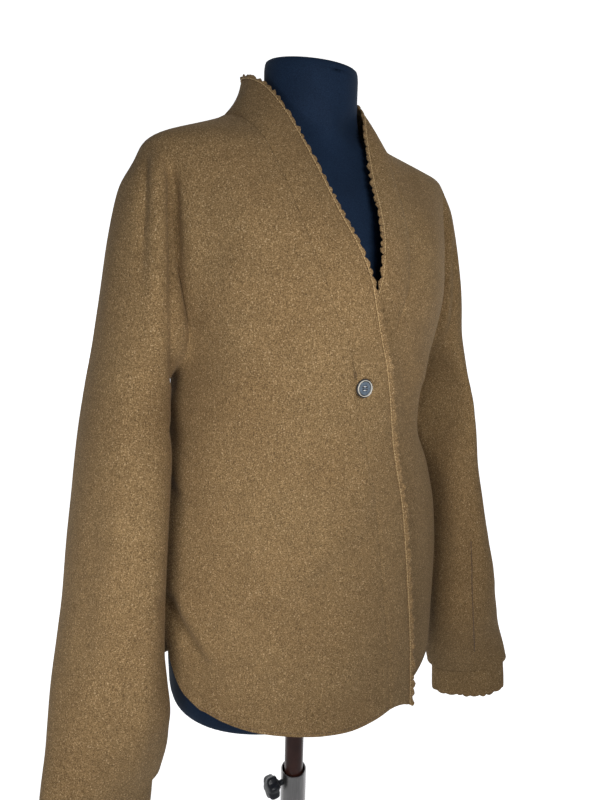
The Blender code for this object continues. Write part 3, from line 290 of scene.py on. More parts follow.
# ------------------------------------------------------------------ rows of the middle surface
def sleeve_arc(z, part, n, left=False):
    """Row from the valley or the underarm seam to the seam on the outside of the arm (right side +x here)."""
    f = part == "front"
    sign = -1 if f else 1
    arm = LEFT_ARM if left else RIGHT_ARM
    over = at(arm, "lean", z) if f else 0.0
    if z >= Z_ARM - 1e-9:
        curve = torso_curve(z, part)
        i = cut_curve(curve, 1, valley_y(z, part))
        v = piece_of(curve, i, i + 1e-6)[0]
        s = np.array([at(SHOULDER, "out", z), at(SHOULDER, "oy", z)])
        near = float(smooth((z - 1.165) / 0.05) * smooth((1.385 - z) / 0.04)) if left else 0.0
        s += [at(arm, "out", z), at(arm, "oy", z)]
        inner, outer = at(SHOULDER, "fi" if f else "bi", z), at(SHOULDER, "fo" if f else "bo", z)
        g = -ARCH * (1 - float(smooth((z - Z_ARM) / 0.035)))
        a = v - [g, 0]
        outer *= 1 - 0.35 * near * f
        arc = cubic(a, [a[0] + at(SHOULDER, "lean", z) - over, inner], s + [0, sign * outer], s, DENSE)
        arc[:, 0] += g * smooth(1 - np.abs(arc[:, 1] - a[1]) / 0.024) * smooth(1 - (arc[:, 0] - a[0]) / 0.030)
        w = float(smooth((z - 1.352) / 0.040))
        if w > 0:
            rest = piece_of(curve, i, len(curve) - 1)
            arc = even(arc, len(DENSE) - 1) * (1 - w) + even(rest, len(DENSE) - 1) * w
    else:
        a = np.array([at(SLEEVE, "inn", z) + at(arm, "inn", z), at(SLEEVE, "iy", z) + at(arm, "iy", z)])
        b = np.array([at(SLEEVE, "out", z) + at(arm, "out", z), at(SLEEVE, "oy", z) + at(arm, "oy", z)])
        d = (b - a) / np.linalg.norm(b - a)
        turn = np.array([min(d[1], 0.0), -d[0]])
        out = turn / np.linalg.norm(turn) * (1 if f else -1) * (at(SLEEVE, part, z) + (0 if f else at(arm, "reach", z)))
        arc = cubic(a, a + out - [over, 0], b + out, b, DENSE)
        arc[:, 0] -= (ARCH - arch(z)) * smooth(1 - np.abs(arc[:, 1] - a[1]) / 0.024) * smooth(1 - (arc[:, 0] - a[0]) / 0.030)
    return even(arc, n)


def body_arc(z, part, n, x0=None):
    """Row on the torso, from x0 (or the middle) to the valley, or to the side seam below the underarm."""
    curve = torso_curve(z, part)
    end = cut_curve(curve, 1, valley_y(z, part)) if z >= Z_ARM - 1e-9 else len(curve) - 1
    return even(piece_of(curve, 0, end), n)


def front_row(z, x_start, n, side):
    """Row of one front's body part from x_start to its own valley or side line, on that side.
    side -1 is the wearer's right; x_start is given for the right front and mirrored for the left."""
    c = full_front(z)                      # runs from -x to +x
    end = cut_curve(c, 0, x_start)
    quarter_c = torso_curve(z, "front")
    i = cut_curve(quarter_c, 1, valley_y(z, "front")) if z >= Z_ARM - 1e-9 else len(quarter_c) - 1
    start = (len(quarter_c) - 1) - i
    row = even(piece_of(c, end, start), n)
    if side > 0:
        row = row * [-1, 1]
    return row


def settle(x, z):
    """The left shoulder lies a little lower than the right one, and the left sleeve's end slants
    up towards its outer side."""
    low = SETTLE * float(smooth((x - 0.050) / 0.045) * smooth((0.185 - x) / 0.045) * smooth((z - 1.335) / 0.050))
    return low - SLANT * float(smooth((0.900 - z) / 0.150) * np.clip((x - 0.200) / 0.085, 0.0, 1.0))


def fullness(x, z):
    """The body's right side stands a little fuller under the arm, close to the sleeve."""
    return FULL * float(smooth((-x - 0.060) / 0.070) * smooth((0.156 + x) / 0.004) * smooth((z - 1.035) / 0.055) * smooth((1.163 - z) / 0.022))


# ------------------------------------------------------------------ middle surface of each piece
class Sheet:
    """A patch of the middle surface: points on a grid with missing cells allowed."""
    def __init__(self):
        self.v, self.f = [], []

    def add(self, p):
        self.v.append((float(p[0]) - fullness(p[0], p[2]), float(p[1]), float(p[2]) - settle(p[0], p[2])))
        return len(self.v) - 1

    def rows(self, rows):
        """Joins rows of vertex numbers with quads."""
        for a, b in zip(rows[:-1], rows[1:]):
            for i in range(len(a) - 1):
                q = [a[i], a[i + 1], b[i + 1], b[i]]
                q = [x for j, x in enumerate(q) if x not in q[:j]]
                if len(q) > 2:
                    self.f.append(q)


LEVELS_UP = [1.165, 1.1695, 1.179, 1.196, 1.225, 1.255, 1.285, 1.315, 1.345, 1.367, 1.383, 1.3935, 1.4010, 1.4070, 1.4130, 1.4190]
LEVELS_BODY = [1.1612, 1.154, 1.138, 1.110, 1.075, 1.035, 0.990, Z_VENT]
LEVELS_SLEEVE = [1.1612, 1.154, 1.138, 1.110, 1.070, 1.020, 0.965, 0.910, 0.860, 0.810, 0.775, Z_HEM_SLEEVE]
LEVELS_HEM = 5
N_BODY, N_SLEEVE, N_BACK, N_BAND = 8, 6, 7, 3


def to3(xy, z):
    z = np.broadcast_to(np.asarray(z, float), (len(xy),))
    return np.column_stack([xy, z])


def tuck(u, side):
    return TUCK * float(smooth(1 - u / 0.45)) if side > 0 else 0.0


def front_sheet(side):
    """Front with its half sleeve. side -1 right, +1 left. Columns run from the band seam outwards."""
    s = Sheet()
    mirror = np.array([1, 1, 1]) if side < 0 else np.array([-1, 1, 1])

    def body_row(z, zs=None, x_start=None):
        row = front_row(z, seam_x(z, side) if x_start is None else x_start, N_BODY, -1)
        p = to3(row, z if zs is None else zs)
        if side < 0:
            p[:, 1] -= [lap(z, x) for x in p[:, 0]]
        return p * mirror

    upper = []
    for z in LEVELS_UP:
        a = body_row(z)
        b = to3(sleeve_arc(z, "front", N_SLEEVE, side > 0) * [-1, 1], z) * mirror
        ids = [s.add(p) for p in a] + [s.add(p) for p in b[1:]]
        upper.append(ids)
    tip = s.add((side * TORSO["half"][-1], TORSO["side"][-1], Z_NECK))
    upper.append([tip] * len(upper[-1]))
    s.rows(upper)
    arm = upper[0]
    low = [arm[:N_BODY + 1]]
    for z in LEVELS_BODY:
        low.append([s.add(p) for p in body_row(z)])
    # below the vent the side edge curves in to the hem
    for share, drop in list(zip(VENT_EDGE["share"], VENT_EDGE["drop"]))[1:]:
        ids = []
        for j in range(N_BODY + 1):
            u = j / N_BODY * share
            z = Z_VENT + (float(along(HEM_FRONT["u"], HEM_FRONT["z"], u)) + tuck(u, side) - Z_VENT) * drop
            q = even(front_row(z, seam_x(z), 120, -1), 1, 0.0, max(u, 1e-6))[1] if j else front_row(z, seam_x(z), 120, -1)[0]
            p = np.array([q[0], q[1], z])
            if side < 0:
                p[1] -= lap(z, p[0])
            ids.append(s.add(p * mirror))
        low.append(ids)
    s.rows(low[::-1])
    s.hem_row = low[-3]
    sleeve = [arm[N_BODY:]]
    for z in LEVELS_SLEEVE:
        b = to3(sleeve_arc(z, "front", N_SLEEVE, side > 0) * [-1, 1], z) * mirror
        sleeve.append([s.add(p) for p in b])
    s.rows(sleeve[::-1])
    if side < 0:
        s.f = [f[::-1] for f in s.f]
    s.seams = dict(side=[r[-1] for r in low[:len(LEVELS_BODY) + 1]], under=[r[0] for r in sleeve],
                   over=[r[-1] for r in upper] + [r[-1] for r in sleeve[1:]],
                   front=[r[0] for r in upper] + [r[0] for r in low[1:]], cuff=sleeve[-1], top=upper[-1],
                   point=arm[N_BODY])
    return s


def back_sheet():
    s = Sheet()

    def body_row(z):
        half = to3(body_arc(z, "back", N_BACK), z)
        return np.concatenate([half[::-1] * [-1, 1, 1], half[1:]])

    upper = []
    for z in LEVELS_UP + [Z_NECK]:
        mid = [s.add(p) for p in body_row(z)]
        right = [s.add(p * [-1, 1, 1]) for p in to3(sleeve_arc(z, "back", N_SLEEVE), z)[1:]]
        left = [s.add(p) for p in to3(sleeve_arc(z, "back", N_SLEEVE, True), z)[1:]]
        upper.append(right[::-1] + mid + left)
    s.rows(upper)
    arm = upper[0]
    n, m = N_SLEEVE, 2 * N_BACK
    low = [arm[n:n + m + 1]]
    for z in LEVELS_BODY:
        low.append([s.add(p) for p in body_row(z)])
    for drop in VENT_EDGE["drop"][1:]:
        ids = []
        for j in range(-N_BACK, N_BACK + 1):
            u = abs(j) / N_BACK
            z = Z_VENT + (float(along(HEM_BACK["u"], HEM_BACK["z"], u)) - Z_VENT) * drop
            q = body_arc(z, "back", N_BACK)[abs(j)]
            ids.append(s.add((math.copysign(q[0], j) if j else 0.0, q[1], z)))
        low.append(ids)
    s.rows(low[::-1])
    s.hem_row = low[-3]
    out = {}
    for name, a in (("right", -1), ("left", 1)):
        sleeve = [arm[:n + 1] if a < 0 else arm[n + m:]]
        for z in LEVELS_SLEEVE:
            arc = to3(sleeve_arc(z, "back", N_SLEEVE, a > 0), z) * [a, 1, 1]
            ids = [s.add(p) for p in arc]
            sleeve.append(ids[::-1] if a < 0 else ids)
        s.rows(sleeve[::-1])
        inner = -1 if a < 0 else 0
        outer = 0 if a < 0 else -1
        out[name] = dict(under=[r[inner] for r in sleeve], over=[r[outer] for r in upper] + [r[outer] for r in sleeve[1:]],
                         side=[r[0 if a < 0 else -1] for r in low[:len(LEVELS_BODY) + 1]], point=arm[n] if a < 0 else arm[n + m],
                         cuff=sleeve[-1])
    s.f = [f[::-1] for f in s.f]
    s.seams = out
    s.neck = upper[-1]
    return s


def band_line(a, e, bulge):
    """Points of one cross-line: seam point, points between, stitch line, outer edge."""
    out = np.array([a[0] + e[0], a[1] + e[1] - 0.02, 0.0])
    out /= np.linalg.norm(out)
    cut = 1 - EDGE_STRIP / np.linalg.norm(e - a)
    ts = list(np.linspace(0, cut, N_BAND + 1)) + [1.0]
    return np.array([a + (e - a) * t + out * bulge * 4 * t * (1 - t) for t in ts])


def band_rows(side):
    """Cross-lines of the right band from the hem up to the middle of the back neck."""
    lines = []
    levels = [(z, z) for z in [z for z in LEVELS_UP if z < 1.21][::-1] + LEVELS_BODY]
    for drop in VENT_EDGE["drop"][1:]:
        levels.append(tuple(Z_VENT + (h - Z_VENT) * drop for h in (HEM_FRONT["z"][0] + tuck(0, side), HEM_BAND if side < 0 else HEM_BAND + 0.033)))
    for z0, z1 in levels[::-1]:
        c = full_front(z0)
        strip = piece_of(c, cut_curve(c, 0, seam_x(z0)), cut_curve(c, 0, edge_x(z0)))
        total = np.linalg.norm(np.diff(strip, axis=0), axis=1).sum()
        cut = 1 - EDGE_STRIP / total
        p = to3(np.concatenate([even(strip, N_BAND, 0, cut), even(strip, 1, cut, 1)[1:]]), z0)
        p[:, 2] += (z1 - z0) * np.linspace(0, 1, len(p))**2
        lines.append(p)
    for z in [z for z in LEVELS_UP if z > 1.21]:
        a = np.array([*front_row(z, seam_x(z, side), N_BODY, -1)[0], z])
        e = np.array([float(along(COLLAR["z"], COLLAR[k], z)) for k in ("x", "y", "up")])
        e[0] += 0.15 * (seam_x(z, side) - seam_x(z))
        lines.append(band_line(a, e, 0.0030 * float(smooth((z - 1.21) / 0.06)) * float(1 - smooth((z - 1.40) / 0.03))))
    # the back's neck row, from the shoulder to the middle
    body, arc = body_arc(Z_NECK, "back", N_BACK), sleeve_arc(Z_NECK, "back", N_SLEEVE)
    row = np.concatenate([body, arc[1:]])[::-1] * [-1, 1]
    length = np.concatenate([[0.0], np.cumsum(np.linalg.norm(np.diff(row, axis=0), axis=1))])
    for q, u in zip(row, length / length[-1]):
        e = np.array([float(along(COLLAR_BACK["u"], COLLAR_BACK[k], u)) for k in ("x", "y", "up")])
        lines.append(band_line(np.array([*q, Z_NECK]), e, -0.0030))
    for p in lines:
        if side < 0:
            p[:, 1] -= [lap(q[2], q[0]) for q in p]
        else:
            share = np.linspace(0, 1, len(p)) * float(smooth((p[0, 2] - 1.400) / 0.030) * smooth(-p[0, 0] / 0.05))
            p[:, 2] -= DROOP * share
    return lines


def band_sheet(side):
    s = Sheet()
    mirror = np.array([1, 1, 1]) if side < 0 else np.array([-1, 1, 1])
    rows = [[s.add(p * mirror) for p in line] for line in band_rows(side)]
    s.rows([r for r in rows])
    s.f = [f[::-1] for f in s.f] if side > 0 else s.f
    s.lines = rows
    return s

# ------------------------------------------------------------------ finer rows for the same surface
def steps(a, b, pitch):
    n = max(1, int(round(abs(b - a) / pitch)))
    return [a + (b - a) * i / n for i in range(n + 1)]


FINE = 1.0
LEVELS_UP = steps(1.165, 1.375, 0.0050 * FINE)[:-1] + steps(1.375, 1.402, 0.0030 * FINE)[:-1] + steps(1.402, 1.4265, 0.0018 * FINE)
LEVELS_BODY = [1.1632, 1.1606, 1.1572, 1.1534] + steps(1.149, Z_VENT, 0.0050 * FINE)
LEVELS_SLEEVE = [1.1632, 1.1606, 1.1572, 1.1534] + steps(1.149, Z_HEM_SLEEVE + 0.004, 0.0055 * FINE) + [Z_HEM_SLEEVE]
_drops = list(np.linspace(0, 0.955, int(22 / FINE))) + [0.972, 0.987, 1.0]
VENT_EDGE = dict(share=[float(along(VENT_EDGE["drop"], VENT_EDGE["share"], d)) for d in _drops], drop=_drops)
N_BODY, N_SLEEVE, N_BACK, N_BAND = (int(n / FINE) for n in (44, 28, 40, 10))


def back_drop_rows(sheet_rows):
    return sheet_rows


right, left = front_sheet(-1), front_sheet(1)
LEVELS_HEM = len(_drops)
back = back_sheet()
band_r, band_l = band_sheet(-1), band_sheet(1)
SHEETS = [right, left, back, band_r, band_l]
NAMES = ["right_front", "left_front", "back", "right_band", "left_band"]


# ------------------------------------------------------------------ one welded surface
def boundary_edges(faces):
    seen = {}
    for f in faces:
        for i in range(len(f)):
            a, b = f[i], f[(i + 1) % len(f)]
            seen[(a, b)] = True
    return [(a, b) for (a, b) in seen if (b, a) not in seen]


counts = [len(s.v) for s in SHEETS]
START = np.concatenate([[0], np.cumsum(counts)])
ALL = np.concatenate([np.array(s.v, float) for s in SHEETS])
OWNER = np.concatenate([np.full(c, i) for i, c in enumerate(counts)])
tree = kdtree.KDTree(len(ALL))
for i, p in enumerate(ALL):
    tree.insert(p, i)
tree.balance()
root = list(range(len(ALL)))


def find(i):
    while root[i] != i:
        root[i] = root[root[i]]
        i = root[i]
    return i


EDGES_OF = [boundary_edges(s.f) for s in SHEETS]
for k, s in enumerate(SHEETS):
    for i in sorted({i + int(START[k]) for e in EDGES_OF[k] for i in e}):
        for co, j, d in tree.find_range(Vector(ALL[i]), 0.00003):
            if OWNER[j] != k:
                a, b = find(i), find(j)
                if a != b:
                    root[max(a, b)] = min(a, b)
WELD = np.array([find(i) for i in range(len(ALL))])
uniq, WELD = np.unique(WELD, return_inverse=True)
P = ALL[uniq]
FACES = [[[int(WELD[i + START[k]]) for i in f] for f in s.f] for k, s in enumerate(SHEETS)]
TRI = np.array([(f[0], f[i], f[i + 1]) for fs in FACES for f in fs for i in range(1, len(f) - 1)])
TRI = TRI[(TRI[:, 0] != TRI[:, 1]) & (TRI[:, 1] != TRI[:, 2]) & (TRI[:, 0] != TRI[:, 2])]
LINK = np.array(sorted({(min(a, b), max(a, b)) for fs in FACES for f in fs for a, b in zip(f, f[1:] + f[:1]) if a != b}))
DEGREE = np.bincount(LINK.ravel(), minlength=len(P)).astype(float)
BELONGS = np.zeros((len(P), len(SHEETS)), bool)
BELONGS[WELD, OWNER] = True
once = {}
for fs in FACES:
    for f in fs:
        for a, b in zip(f, f[1:] + f[:1]):
            if a != b:
                once[(a, b)] = True
FREE = np.zeros(len(P), bool)              # vertices on a free edge of the whole garment
for a, b in once:
    if (b, a) not in once:
        FREE[a] = FREE[b] = True


def normals(points):
    t = points[TRI]
    n = np.cross(t[:, 1] - t[:, 0], t[:, 2] - t[:, 0])
    out = np.zeros_like(points)
    for k in range(3):
        np.add.at(out, TRI[:, k], n)
    return out / np.maximum(np.linalg.norm(out, axis=1), 1e-12)[:, None]


def relax(points, weight, rounds):
    """Moves each point towards its neighbours' mean, by weight; free edges keep to themselves."""
    w = (weight * ~FREE)[:, None]
    for _ in range(rounds):
        total = np.zeros_like(points)
        np.add.at(total, LINK[:, 0], points[LINK[:, 1]])
        np.add.at(total, LINK[:, 1], points[LINK[:, 0]])
        points = points + w * (total / DEGREE[:, None] - points)
    return points


def near(centre, radii):
    return np.exp(-(((P - np.array(centre)) / np.array(radii))**2).sum(1))


soft = np.zeros(len(P))
for sx in (-1, 1):                         # no crease round the underarm
    soft = np.maximum(soft, near((sx * 0.160, 0.005, 1.168), (0.055, 0.110, 0.040)))
soft = np.maximum(soft, 0.25 * near((0, 0, 1.39), (0.4, 0.3, 0.035)))
P = relax(P, np.clip(soft * 1.3, 0, 0.9), int(45 / FINE**2))

# ------------------------------------------------------------------ camera
FOCAL, DIST, AZ, PITCH, ROLL, YAW, EYE = 578.0, 0.66, 28.0, 10.1, 1.41, -0.30, 1.25
_a, _a2, _p, _r = (math.radians(v) for v in (AZ, AZ + YAW, PITCH, ROLL))
CAM_AT = Vector((-DIST * math.sin(_a), -DIST * math.cos(_a), EYE))
_f = Vector((math.sin(_a2) * math.cos(_p), math.cos(_a2) * math.cos(_p), -math.sin(_p)))
_r0 = Vector((math.cos(_a2), -math.sin(_a2), 0))
_u0 = _r0.cross(_f)
CAM_R = math.cos(_r) * _r0 + math.sin(_r) * _u0
CAM_U = -math.sin(_r) * _r0 + math.cos(_r) * _u0
cam_data = bpy.data.cameras.new("camera")
cam_data.lens, cam_data.sensor_width, cam_data.clip_start = FOCAL / 800 * 36, 36, 0.01
camera = bpy.data.objects.new("camera", cam_data)
bpy.context.scene.collection.objects.link(camera)
camera.matrix_world = Matrix(((CAM_R.x, CAM_U.x, -_f.x, CAM_AT.x), (CAM_R.y, CAM_U.y, -_f.y, CAM_AT.y),
                              (CAM_R.z, CAM_U.z, -_f.z, CAM_AT.z), (0, 0, 0, 1)))
bpy.context.scene.camera = camera


def seen(points):
    """Where points lie in the 600 x 800 frame."""
    d = points - np.array(CAM_AT)
    depth = d @ np.array(_f)
    return np.stack([300 + FOCAL * (d @ np.array(CAM_R)) / depth, 400 - FOCAL * (d @ np.array(CAM_U)) / depth], 1)


def distance_to(path, q):
    """Distance from each q to an open polyline, with the share of its length where it is nearest."""
    path = np.array(path, float)
    seg = np.linalg.norm(np.diff(path, axis=0), axis=1)
    cum = np.concatenate([[0], np.cumsum(seg)])
    best, where = np.full(len(q), 1e9), np.zeros(len(q))
    for i in range(len(seg)):
        a, b = path[i], path[i + 1]
        t = np.clip(((q - a) @ (b - a)) / max(seg[i]**2, 1e-12), 0, 1)
        d = np.linalg.norm(q - (a + t[:, None] * (b - a)), axis=1)
        m = d < best
        best[m], where[m] = d[m], (cum[i] + t[m] * seg[i]) / cum[-1]
    return best, where


# folds of the front, placed where the picture shows them: (piece, line in the frame, half width in
# px, height in mm: + ridge, - trough, share of the length over which it starts and ends)
FOLDS = [
    ("right_front", [(163, 140), (159, 170), (157, 230), (156, 300), (156, 380)], 10, 3.6, 0.12, 0.55),
    ("right_front", [(146, 150), (145, 190), (143, 250), (142, 310)], 5, -3.2, 0.15, 0.5),
    ("right_front", [(168, 158), (172, 190), (174, 250), (174, 310), (175, 365), (174, 400)], 6, -5.0, 0.12, 0.2),
    ("right_front", [(188, 190), (190, 260), (190, 330)], 9, 1.5, 0.3, 0.3),
    ("right_front", [(120, 210), (112, 280), (105, 360)], 10, 1.2, 0.3, 0.4),
    ("right_front", [(135, 350), (128, 430), (122, 520), (118, 600)], 16, 1.6, 0.3, 0.3),
    ("right_front", [(100, 480), (92, 560), (84, 640), (80, 700)], 13, -1.4, 0.3, 0.3),
    ("right_front", [(150, 640), (146, 700), (140, 745), (128, 790)], 9, 2.0, 0.3, 0.2),
    ("right_front", [(298, 452), (282, 487), (261, 507), (235, 542), (212, 571)], 13, 2.0, 0.3, 0.3),
    ("right_front", [(331, 440), (314, 466), (302, 491), (255, 526), (243, 556), (236, 600)], 12, -1.8, 0.3, 0.3),
    ("right_front", [(385, 455), (343, 530), (314, 562), (285, 585), (241, 606)], 14, 1.8, 0.25, 0.3),
    ("right_front", [(345, 560), (331, 575), (285, 622), (245, 640)], 12, -1.6, 0.3, 0.3),
    ("right_front", [(225, 250), (240, 330), (235, 420), (220, 480)], 26, 1.6, 0.3, 0.3),
    ("right_front", [(200, 160), (215, 230), (222, 300)], 16, -1.4, 0.3, 0.3),
    ("right_front", [(300, 230), (310, 290), (330, 350), (352, 385)], 20, 1.5, 0.3, 0.2),
    ("right_front", [(164, 592), (176, 622), (190, 645), (208, 666)], 7, -5.0, 0.15, 0.3),
    ("right_front", [(176, 588), (192, 620), (210, 650), (232, 684)], 8, 2.6, 0.2, 0.4),
    ("right_front", [(355, 600), (350, 650), (335, 700)], 16, 1.8, 0.3, 0.3),
    ("left_front", [(455, 235), (456, 270), (455, 310), (452, 345)], 4, -3.5, 0.2, 0.2),
    ("left_front", [(448, 215), (449, 260), (448, 310), (445, 345)], 4, 2.2, 0.2, 0.2),
    ("left_front", [(430, 200), (432, 250), (430, 300), (420, 335)], 13, 1.6, 0.3, 0.3),
    ("left_front", [(408, 190), (415, 230), (413, 280)], 9, -1.2, 0.3, 0.3),
    ("left_front", [(440, 352), (430, 364), (422, 378), (420, 392)], 6, 3.0, 0.3, 0.4),
    ("left_front", [(398, 330), (404, 370), (404, 410), (410, 450)], 9, -1.6, 0.3, 0.3),
    ("left_front", [(452, 420), (455, 500), (456, 580)], 9, 1.5, 0.3, 0.3),
    ("left_front", [(463, 470), (466, 560), (466, 640)], 7, -1.3, 0.3, 0.3),
]
N0 = normals(P)
S = seen(P)
TOWARDS = np.einsum("ij,ij->i", N0, np.array(CAM_AT) - P) / np.linalg.norm(np.array(CAM_AT) - P, axis=1)
FACING = smooth(TOWARDS / 0.3)
MOVE = np.zeros(len(P))
GAIN = 1.6
for piece, line, half, height, rise, fall in FOLDS:
    d, t = distance_to(line, S)
    g = np.exp(-(d / half)**2) * smooth(t / rise) * smooth((1 - t) / fall)
    MOVE += g * height * GAIN / 1000 * FACING * BELONGS[:, NAMES.index(piece)]

# broad, uneven drape everywhere else, from the sides to the back: long soft vertical folds that
# lean a little and die out towards shoulders and hems


def waves(p, seed):
    """Slow wandering number in -1..1 from sums of a few sines, no two folds alike."""
    r = np.random.default_rng(seed)
    out = np.zeros(len(p))
    for _ in range(5):
        k = r.normal(size=3) * np.array([26, 26, 7])
        out += np.sin(p @ k + r.uniform(0, 6.283)) / 3.2
    return np.clip(out, -1, 1)


hidden = smooth((-TOWARDS - 0.10) / 0.40)
back_side = smooth((P[:, 1] - 0.0) / 0.05)
torso = smooth((0.165 - np.abs(P[:, 0])) / 0.03)
drape = waves(P, 5) * 0.0022
fold_lines = 0.0045 * np.cos(P[:, 0] * 62 + 1.3 * np.sin(P[:, 2] * 7 + 0.6)) * smooth((1.20 - P[:, 2]) / 0.25) * back_side * torso
yoke = 0.0022 * np.cos((P[:, 0] * 0.8 + np.abs(P[:, 2] - 1.28)) * 70) * back_side * torso * smooth((P[:, 2] - 1.12) / 0.08) * smooth((1.37 - P[:, 2]) / 0.06)
MOVE += hidden * (drape + fold_lines + yoke)
MOVE += FACING * waves(P, 11) * 0.0007 * smooth((0.10 - 0) / 0.1)
sleeve_zone = smooth((np.abs(P[:, 0]) - 0.175) / 0.02)
MOVE += sleeve_zone * hidden * 0.0016 * np.sin(P[:, 2] * 55 + 9 * P[:, 1] + 2 * np.sin(P[:, 2] * 19))

# the layers that lie on each other stay apart, and seams keep to their lines
left_edge = np.array([-edge_x(min(z, 1.262)) for z in P[:, 2]])
under = smooth((P[:, 0] - left_edge + 0.035) / 0.03) * smooth((1.30 - P[:, 2]) / 0.05) * (P[:, 1] < -0.03)
is_left = BELONGS[:, 1] | BELONGS[:, 4]
is_right = BELONGS[:, 0] | BELONGS[:, 3]
right_edge_px = np.interp(S[:, 1], [80, 161, 244, 320, 411, 502, 584, 711], [264, 318.6, 356, 378, 393.7, 404, 411, 415])
covered = smooth((right_edge_px + 14 - S[:, 0]) / 20) * (P[:, 1] < -0.03) * smooth((1.29 - P[:, 2]) / 0.03)
MOVE = np.where(is_left, MOVE * (1 - covered) - 0.0006 * covered, MOVE)
MOVE = np.where(is_right & (under > 0.05), np.maximum(MOVE, -0.0008), MOVE)
MOVE *= 1 - 0.85 * smooth((P[:, 2] - 1.36) / 0.04)
P = P + N0 * MOVE[:, None]
# under the right arm sleeve and body lie against each other
touch = np.exp(-((S[:, 1] - 398) / 30)**2) * np.exp(-((S[:, 0] - 168) / 16)**2) * smooth((0.03 - P[:, 1]) / 0.03)
toward = np.where(S[:, 0] < 168, 0.0050, -0.0040) * touch
P = P + toward[:, None] * np.array([math.cos(math.radians(AZ)), math.sin(math.radians(AZ)), 0.0])
# the left side is drawn in at the waist, under a deep fold that runs down from the arm
z_fold = P[:, 2] - 1.145
drawn = np.exp(-(z_fold / np.where(z_fold > 0, 0.045, 0.050))**2)
side_x = np.interp(P[:, 2], [1.0, 1.06, 1.11, 1.165, 1.22, 1.25], [0.185, 0.170, 0.160, 0.160, 0.160, 0.164])
body_part = smooth((side_x - P[:, 0]) / 0.012) * smooth((P[:, 0] - 0.085) / 0.05)
P[:, 0] -= 0.013 * drawn * body_part
pit = np.exp(-((P[:, 0] - side_x - 0.007) / 0.014)**2) * np.exp(-((P[:, 2] - 1.14) / 0.055)**2) * smooth((0.002 - P[:, 1]) / 0.03)
P[:, 1] += 0.034 * pit
# the sleeve's front hangs away from it, which opens a dark hollow beside the waist
apart = np.exp(-((P[:, 2] - 1.125) / np.where(P[:, 2] > 1.125, 0.045, 0.060))**2) * smooth((P[:, 0] - side_x - 0.001) / 0.006) * smooth((side_x + 0.060 - P[:, 0]) / 0.035) * smooth((-0.006 - P[:, 1]) / 0.022)
P[:, 0] += 0.017 * apart
P = relax(P, np.full(len(P), 0.35), 2)
N = normals(P)


# ------------------------------------------------------------------ materials
def new_material(name):
    m = bpy.data.materials.new(name)
    m.use_nodes = True
    nt = m.node_tree
    return m, nt, nt.nodes["Principled BSDF"]


def node(nt, kind, **values):
    n = nt.nodes.new(kind)
    for k, v in values.items():
        if k in n.inputs.keys():
            n.inputs[k].default_value = v
        else:
            setattr(n, k, v)
    return n


def ramp(nt, fac, stops):
    r = nt.nodes.new("ShaderNodeValToRGB")
    while len(r.color_ramp.elements) < len(stops):
        r.color_ramp.elements.new(0.5)
    for e, (pos, col) in zip(r.color_ramp.elements, stops):
        e.position, e.color = pos, (*col, 1) if len(col) == 3 else col
    nt.links.new(fac, r.inputs[0])
    return r.outputs[0]


def grey(v):
    return (v, v, v)


def mix(nt, kind, fac, a, b):
    m = nt.nodes.new("ShaderNodeMix")
    m.data_type, m.blend_type = "RGBA", kind
    if isinstance(fac, float):
        m.inputs[0].default_value = fac
    else:
        nt.links.new(fac, m.inputs[0])
    for s, v in ((m.inputs[6], a), (m.inputs[7], b)):
        if isinstance(v, tuple):
            s.default_value = (*v, 1)
        else:
            nt.links.new(v, s)
    return m.outputs[2]


